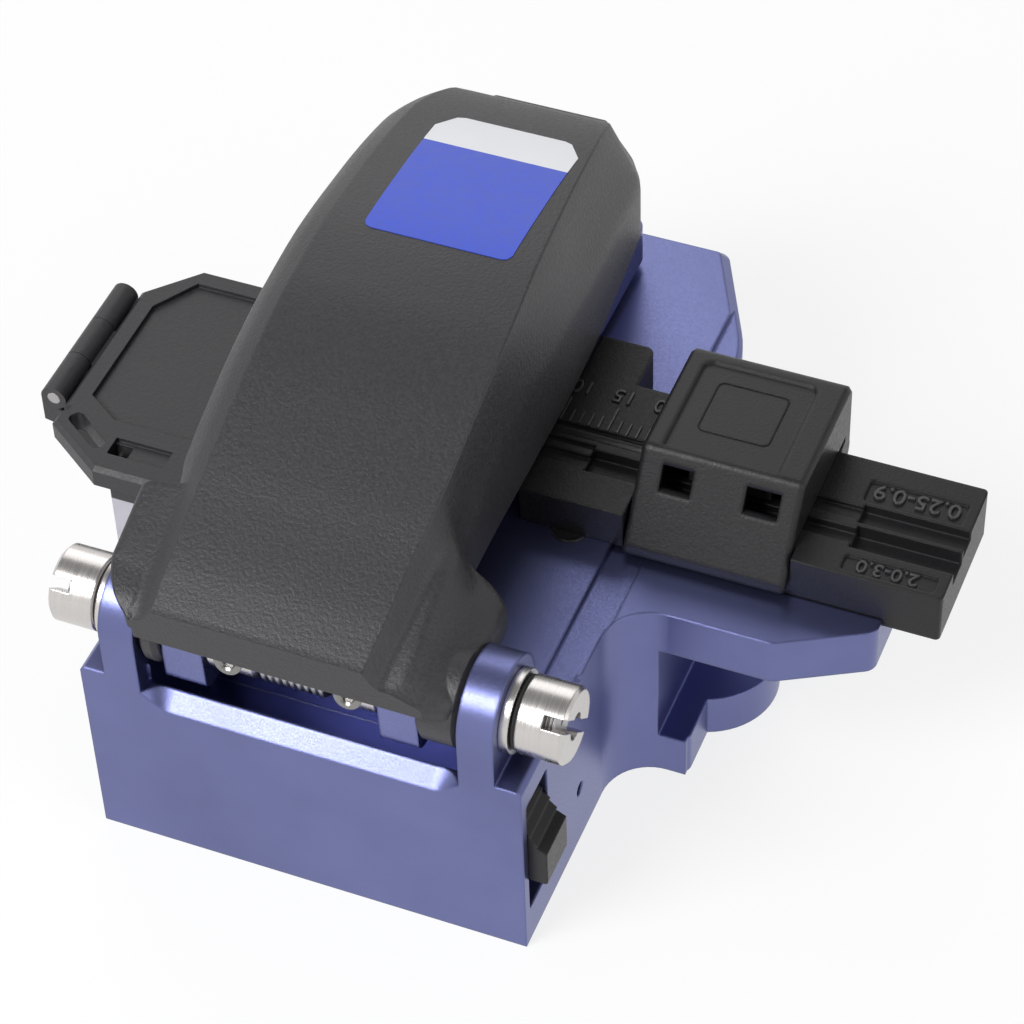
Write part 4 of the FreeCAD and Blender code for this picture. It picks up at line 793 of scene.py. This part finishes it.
# ------------------------------------------------------------------ raised numbers
def number(name, words, place, size, body, raise_by):
    """Raised figures, read from the front of the tool, centred on the place (x, y, z)."""
    curve = bpy.data.curves.new(name, "FONT")
    curve.body = words
    curve.size = size * MM
    curve.align_x = "CENTER"
    curve.align_y = "CENTER"
    curve.extrude = raise_by * MM / 2
    curve.bevel_depth = 0.03 * MM
    curve.resolution_u = 4
    mesh = settle(linked(name, curve))
    x, y, z = place
    lifted = Matrix.Translation(mm(x, y, z + raise_by / 2))
    mesh.transform(lifted @ Matrix.Rotation(math.pi, 4, "Z"))
    add_piece(name, mesh, F_MARK, body, 30.0)


def make_numbers():
    """The ruler's millimetres, and the fibre sizes of the holder's two grooves."""
    for words, x in (("10", 10.6), ("15", 15.0), ("20", 19.4)):
        number("ruler_" + words, words, (x, ahead(47.2), RULER_TOP), 2.5, "base", 0.16)
    number("range_small", "0.25-0.9", (46.4, ahead(43.7), HOLDER_TOP), 2.7, "holder", 0.22)
    number("range_large", "2.0-3.0", (46.5, ahead(33.75), HOLDER_TOP), 2.25, "holder", 0.22)


# ------------------------------------------------------------------ small pieces
PLUG_PLACE = (14.8, ahead(32.4))
PLUG = ((1.5, 0.1), (1.6, 0.2), (1.8, 0.2), (1.9, 0.1), (1.9, -0.4))  # radius, height


def make_plug():
    """The round plug in the plateau behind the ruler platform."""
    work = bmesh.new()
    sides = 40
    rings = []
    for k in range(sides):
        angle = 2 * math.pi * k / sides
        x, y = math.cos(angle), math.sin(angle)
        rings.append([work.verts.new(mm(PLUG_PLACE[0] + r * x, PLUG_PLACE[1] + r * y,
                                        PLATEAU_TOP + h)) for r, h in PLUG])
    join_rings(work, rings + rings[:1], False)
    work.faces.new([ring[0] for ring in rings])
    work.faces.new([ring[-1] for ring in rings])
    add_piece("plateau_plug", written(work, "plateau_plug"), F_SMOOTH, "base", 30.0)


LOCK_RIBS = 5
THUMB_BLOCK = 4.5  # its height


def make_lock():
    """The sliding lock: a plain thumb block below, and a ribbed slope above it."""
    low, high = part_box("lock_slide")
    x0, x1 = low[0] / MM, high[0] / MM
    y0, y1 = low[1] / MM, high[1] / MM
    foot, head = low[2] / MM + 2.0, high[2] / MM
    ledge = foot + THUMB_BLOCK
    edge = 0.25
    profile = [(x0, foot), (x1 - edge, foot), (x1, foot + edge), (x1, ledge)]
    for k in range(LOCK_RIBS):
        out = x1 - 0.35 - (x1 - x0 - 1.0) * (k + 1) / LOCK_RIBS * 0.8
        rise = ledge + (head - ledge) * (k + 0.15) / LOCK_RIBS
        profile += [(out, rise + 0.35), (out + 0.12, rise + 0.75)]
    profile += [(profile[-1][0] - 0.3, head), (x0, head)]
    count = len(profile)
    verts = [(x, y, z) for y in (y0, y1) for x, z in profile]
    faces = [(k, (k + 1) % count, count + (k + 1) % count, count + k) for k in range(count)]
    faces += [tuple(range(count)), tuple(count + k for k in range(count))]
    lock = add_piece("thumb_lock", drawn("thumb_lock", verts, faces), F_SMOOTH, "lock", 20.0)
    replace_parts(lock, "lock_slide")


# Section of the line: how far inside its outer edge, and how high.
LINE = ((0.0, 0.0), (0.08, 0.16), (0.2, 0.16), (0.28, 0.0))
LINE_CORNER = 0.9


def make_panel_line():
    """The fine raised line inside the sunken panel of the clamp lid."""
    low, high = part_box("clamp_lid")
    left, right = low[0] / MM + 4.0, high[0] / MM - 4.9
    front = high[1] / MM - 4.0
    rear = front - 7.2
    panel = high[2] / MM - 0.36
    middle = (left + right) / 2
    work = bmesh.new()
    rings = []
    for inset, lift in LINE:
        x0, x1, y0, y1 = left + inset, right - inset, rear + inset, front - inset
        round_ = LINE_CORNER - inset
        outline = rounded([(middle, y0), (x1, y0), (x1, y1), (x0, y1), (x0, y0), (middle, y0)],
                          (0, round_, round_, round_, round_, 0))
        rings.append([work.verts.new(mm(p.x, p.y, panel + lift)) for p in outline[:-1]])
    join_rings(work, rings + rings[:1], True)
    add_piece("panel_line", written(work, "panel_line"), F_CLAMP, "clamp", 40.0)


make_lock()
make_panel_line()
make_cover()
make_label()
make_spring()
make_screws()
make_collars()
make_cap(1, "right")
make_cap(-1, "left")
make_ticks()
make_numbers()
make_plug()


# ------------------------------------------------------------------ stage
FLOOR_REACH = 1.5
FLOOR_GAP = 0.00002
FLOOR_WHITENESS = 0.8  # share of plain white where the floor is looked at
MIDDLE = Vector((0, 0, 0.02))
SENSOR = 36.0
FOCAL_SHARE = 3531.0 / 1024.0  # focal length over the width of the sensor
AZIMUTH, ELEVATION, ROLL = math.radians(23.435), math.radians(46.061), math.radians(-2.271)
CAMERA_SPOT = (104.180, ahead(-187.862), 272.686)


def shown_plain(tree):
    """One where a surround is looked at, mirrored or seen through, and nought where it lights."""
    path = tree.nodes.new("ShaderNodeLightPath")
    total = path.outputs["Is Camera Ray"]
    for kind in ("Is Glossy Ray", "Is Transmission Ray"):
        most = tree.nodes.new("ShaderNodeMath")
        most.operation = "MAXIMUM"
        tree.links.new(total, most.inputs[0])
        tree.links.new(path.outputs[kind], most.inputs[1])
        total = most.outputs[0]
    return total


def floor():
    """A pale floor that takes the shadow, close to plain white where it is looked at."""
    signs = ((-1, -1), (1, -1), (1, 1), (-1, 1))
    corners = [(x * FLOOR_REACH, y * FLOOR_REACH, 0) for x, y in signs]
    mesh = bpy.data.meshes.new("floor")
    mesh.from_pydata(corners, [], [(0, 1, 2, 3)])
    thing = linked("floor", mesh)
    thing.location.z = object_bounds()[0][2] - FLOOR_GAP
    material = bpy.data.materials.new("pale_floor")
    material.use_nodes = True
    tree = material.node_tree
    shader = tree.nodes["Principled BSDF"]
    shader.inputs["Base Color"].default_value = (0.93, 0.93, 0.93, 1)
    shader.inputs["Roughness"].default_value = 0.7
    emission = tree.nodes.new("ShaderNodeEmission")
    emission.inputs["Strength"].default_value = 1.0
    mix = tree.nodes.new("ShaderNodeMixShader")
    share = tree.nodes.new("ShaderNodeMath")
    share.operation = "MULTIPLY"
    share.inputs[1].default_value = FLOOR_WHITENESS
    tree.links.new(shown_plain(tree), share.inputs[0])
    tree.links.new(share.outputs[0], mix.inputs["Fac"])
    tree.links.new(shader.outputs[0], mix.inputs[1])
    tree.links.new(emission.outputs[0], mix.inputs[2])
    tree.links.new(mix.outputs[0], tree.nodes["Material Output"].inputs["Surface"])
    mesh.materials.append(material)
    thing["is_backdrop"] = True


def lamp(name, spot, power, size):
    """A square white light that faces the middle of the object."""
    light = bpy.data.lights.new(name, "AREA")
    light.energy = power
    light.size = size
    thing = linked(name, light)
    thing.location = spot
    thing.rotation_euler = (MIDDLE - Vector(spot)).to_track_quat("-Z", "Y").to_euler()


def world():
    """White round the horizon and greyer overhead where it is seen, and a soft even light."""
    space = bpy.data.worlds.new("studio")
    bpy.context.scene.world = space
    space.use_nodes = True
    tree = space.node_tree
    background = tree.nodes["Background"]
    background.inputs["Color"].default_value = (1, 1, 1, 1)
    place = tree.nodes.new("ShaderNodeTexCoord")
    split = tree.nodes.new("ShaderNodeSeparateXYZ")
    overhead = tree.nodes.new("ShaderNodeMapRange")
    for key, value in (("From Min", 0.1), ("From Max", 0.7), ("To Min", 1.0), ("To Max", 0.3)):
        overhead.inputs[key].default_value = value
    tree.links.new(place.outputs["Generated"], split.inputs["Vector"])
    tree.links.new(split.outputs["Z"], overhead.inputs["Value"])
    strength = tree.nodes.new("ShaderNodeMapRange")
    strength.inputs["To Min"].default_value = 0.3
    tree.links.new(overhead.outputs["Result"], strength.inputs["To Max"])
    tree.links.new(shown_plain(tree), strength.inputs["Value"])
    tree.links.new(strength.outputs["Result"], background.inputs["Strength"])


def camera():
    """A long lens from behind, above and to the right, slightly rolled."""
    data = bpy.data.cameras.new("camera")
    thing = linked("camera", data)
    level = math.cos(ELEVATION)
    back = Vector((math.sin(AZIMUTH) * level, -math.cos(AZIMUTH) * level, math.sin(ELEVATION)))
    right = Vector((math.cos(AZIMUTH), math.sin(AZIMUTH), 0))
    up = back.cross(right)
    across = right * math.cos(ROLL) + up * math.sin(ROLL)
    above = -right * math.sin(ROLL) + up * math.cos(ROLL)
    turn = Matrix((across, above, back)).transposed().to_4x4()
    thing.matrix_world = Matrix.Translation(mm(*CAMERA_SPOT)) @ turn
    data.sensor_width = SENSOR
    data.lens = FOCAL_SHARE * SENSOR
    data.clip_start = 0.01
    bpy.context.scene.camera = thing


floor()
world()
camera()
lamp("key", (-0.32, -0.52, 0.58), 6.0, 0.4)
lamp("fill", (0.60, -0.20, 0.40), 1.2, 0.5)
lamp("rear", (-0.30, 0.55, 0.50), 1.2, 0.5)
bpy.context.scene.view_settings.view_transform = "Standard"
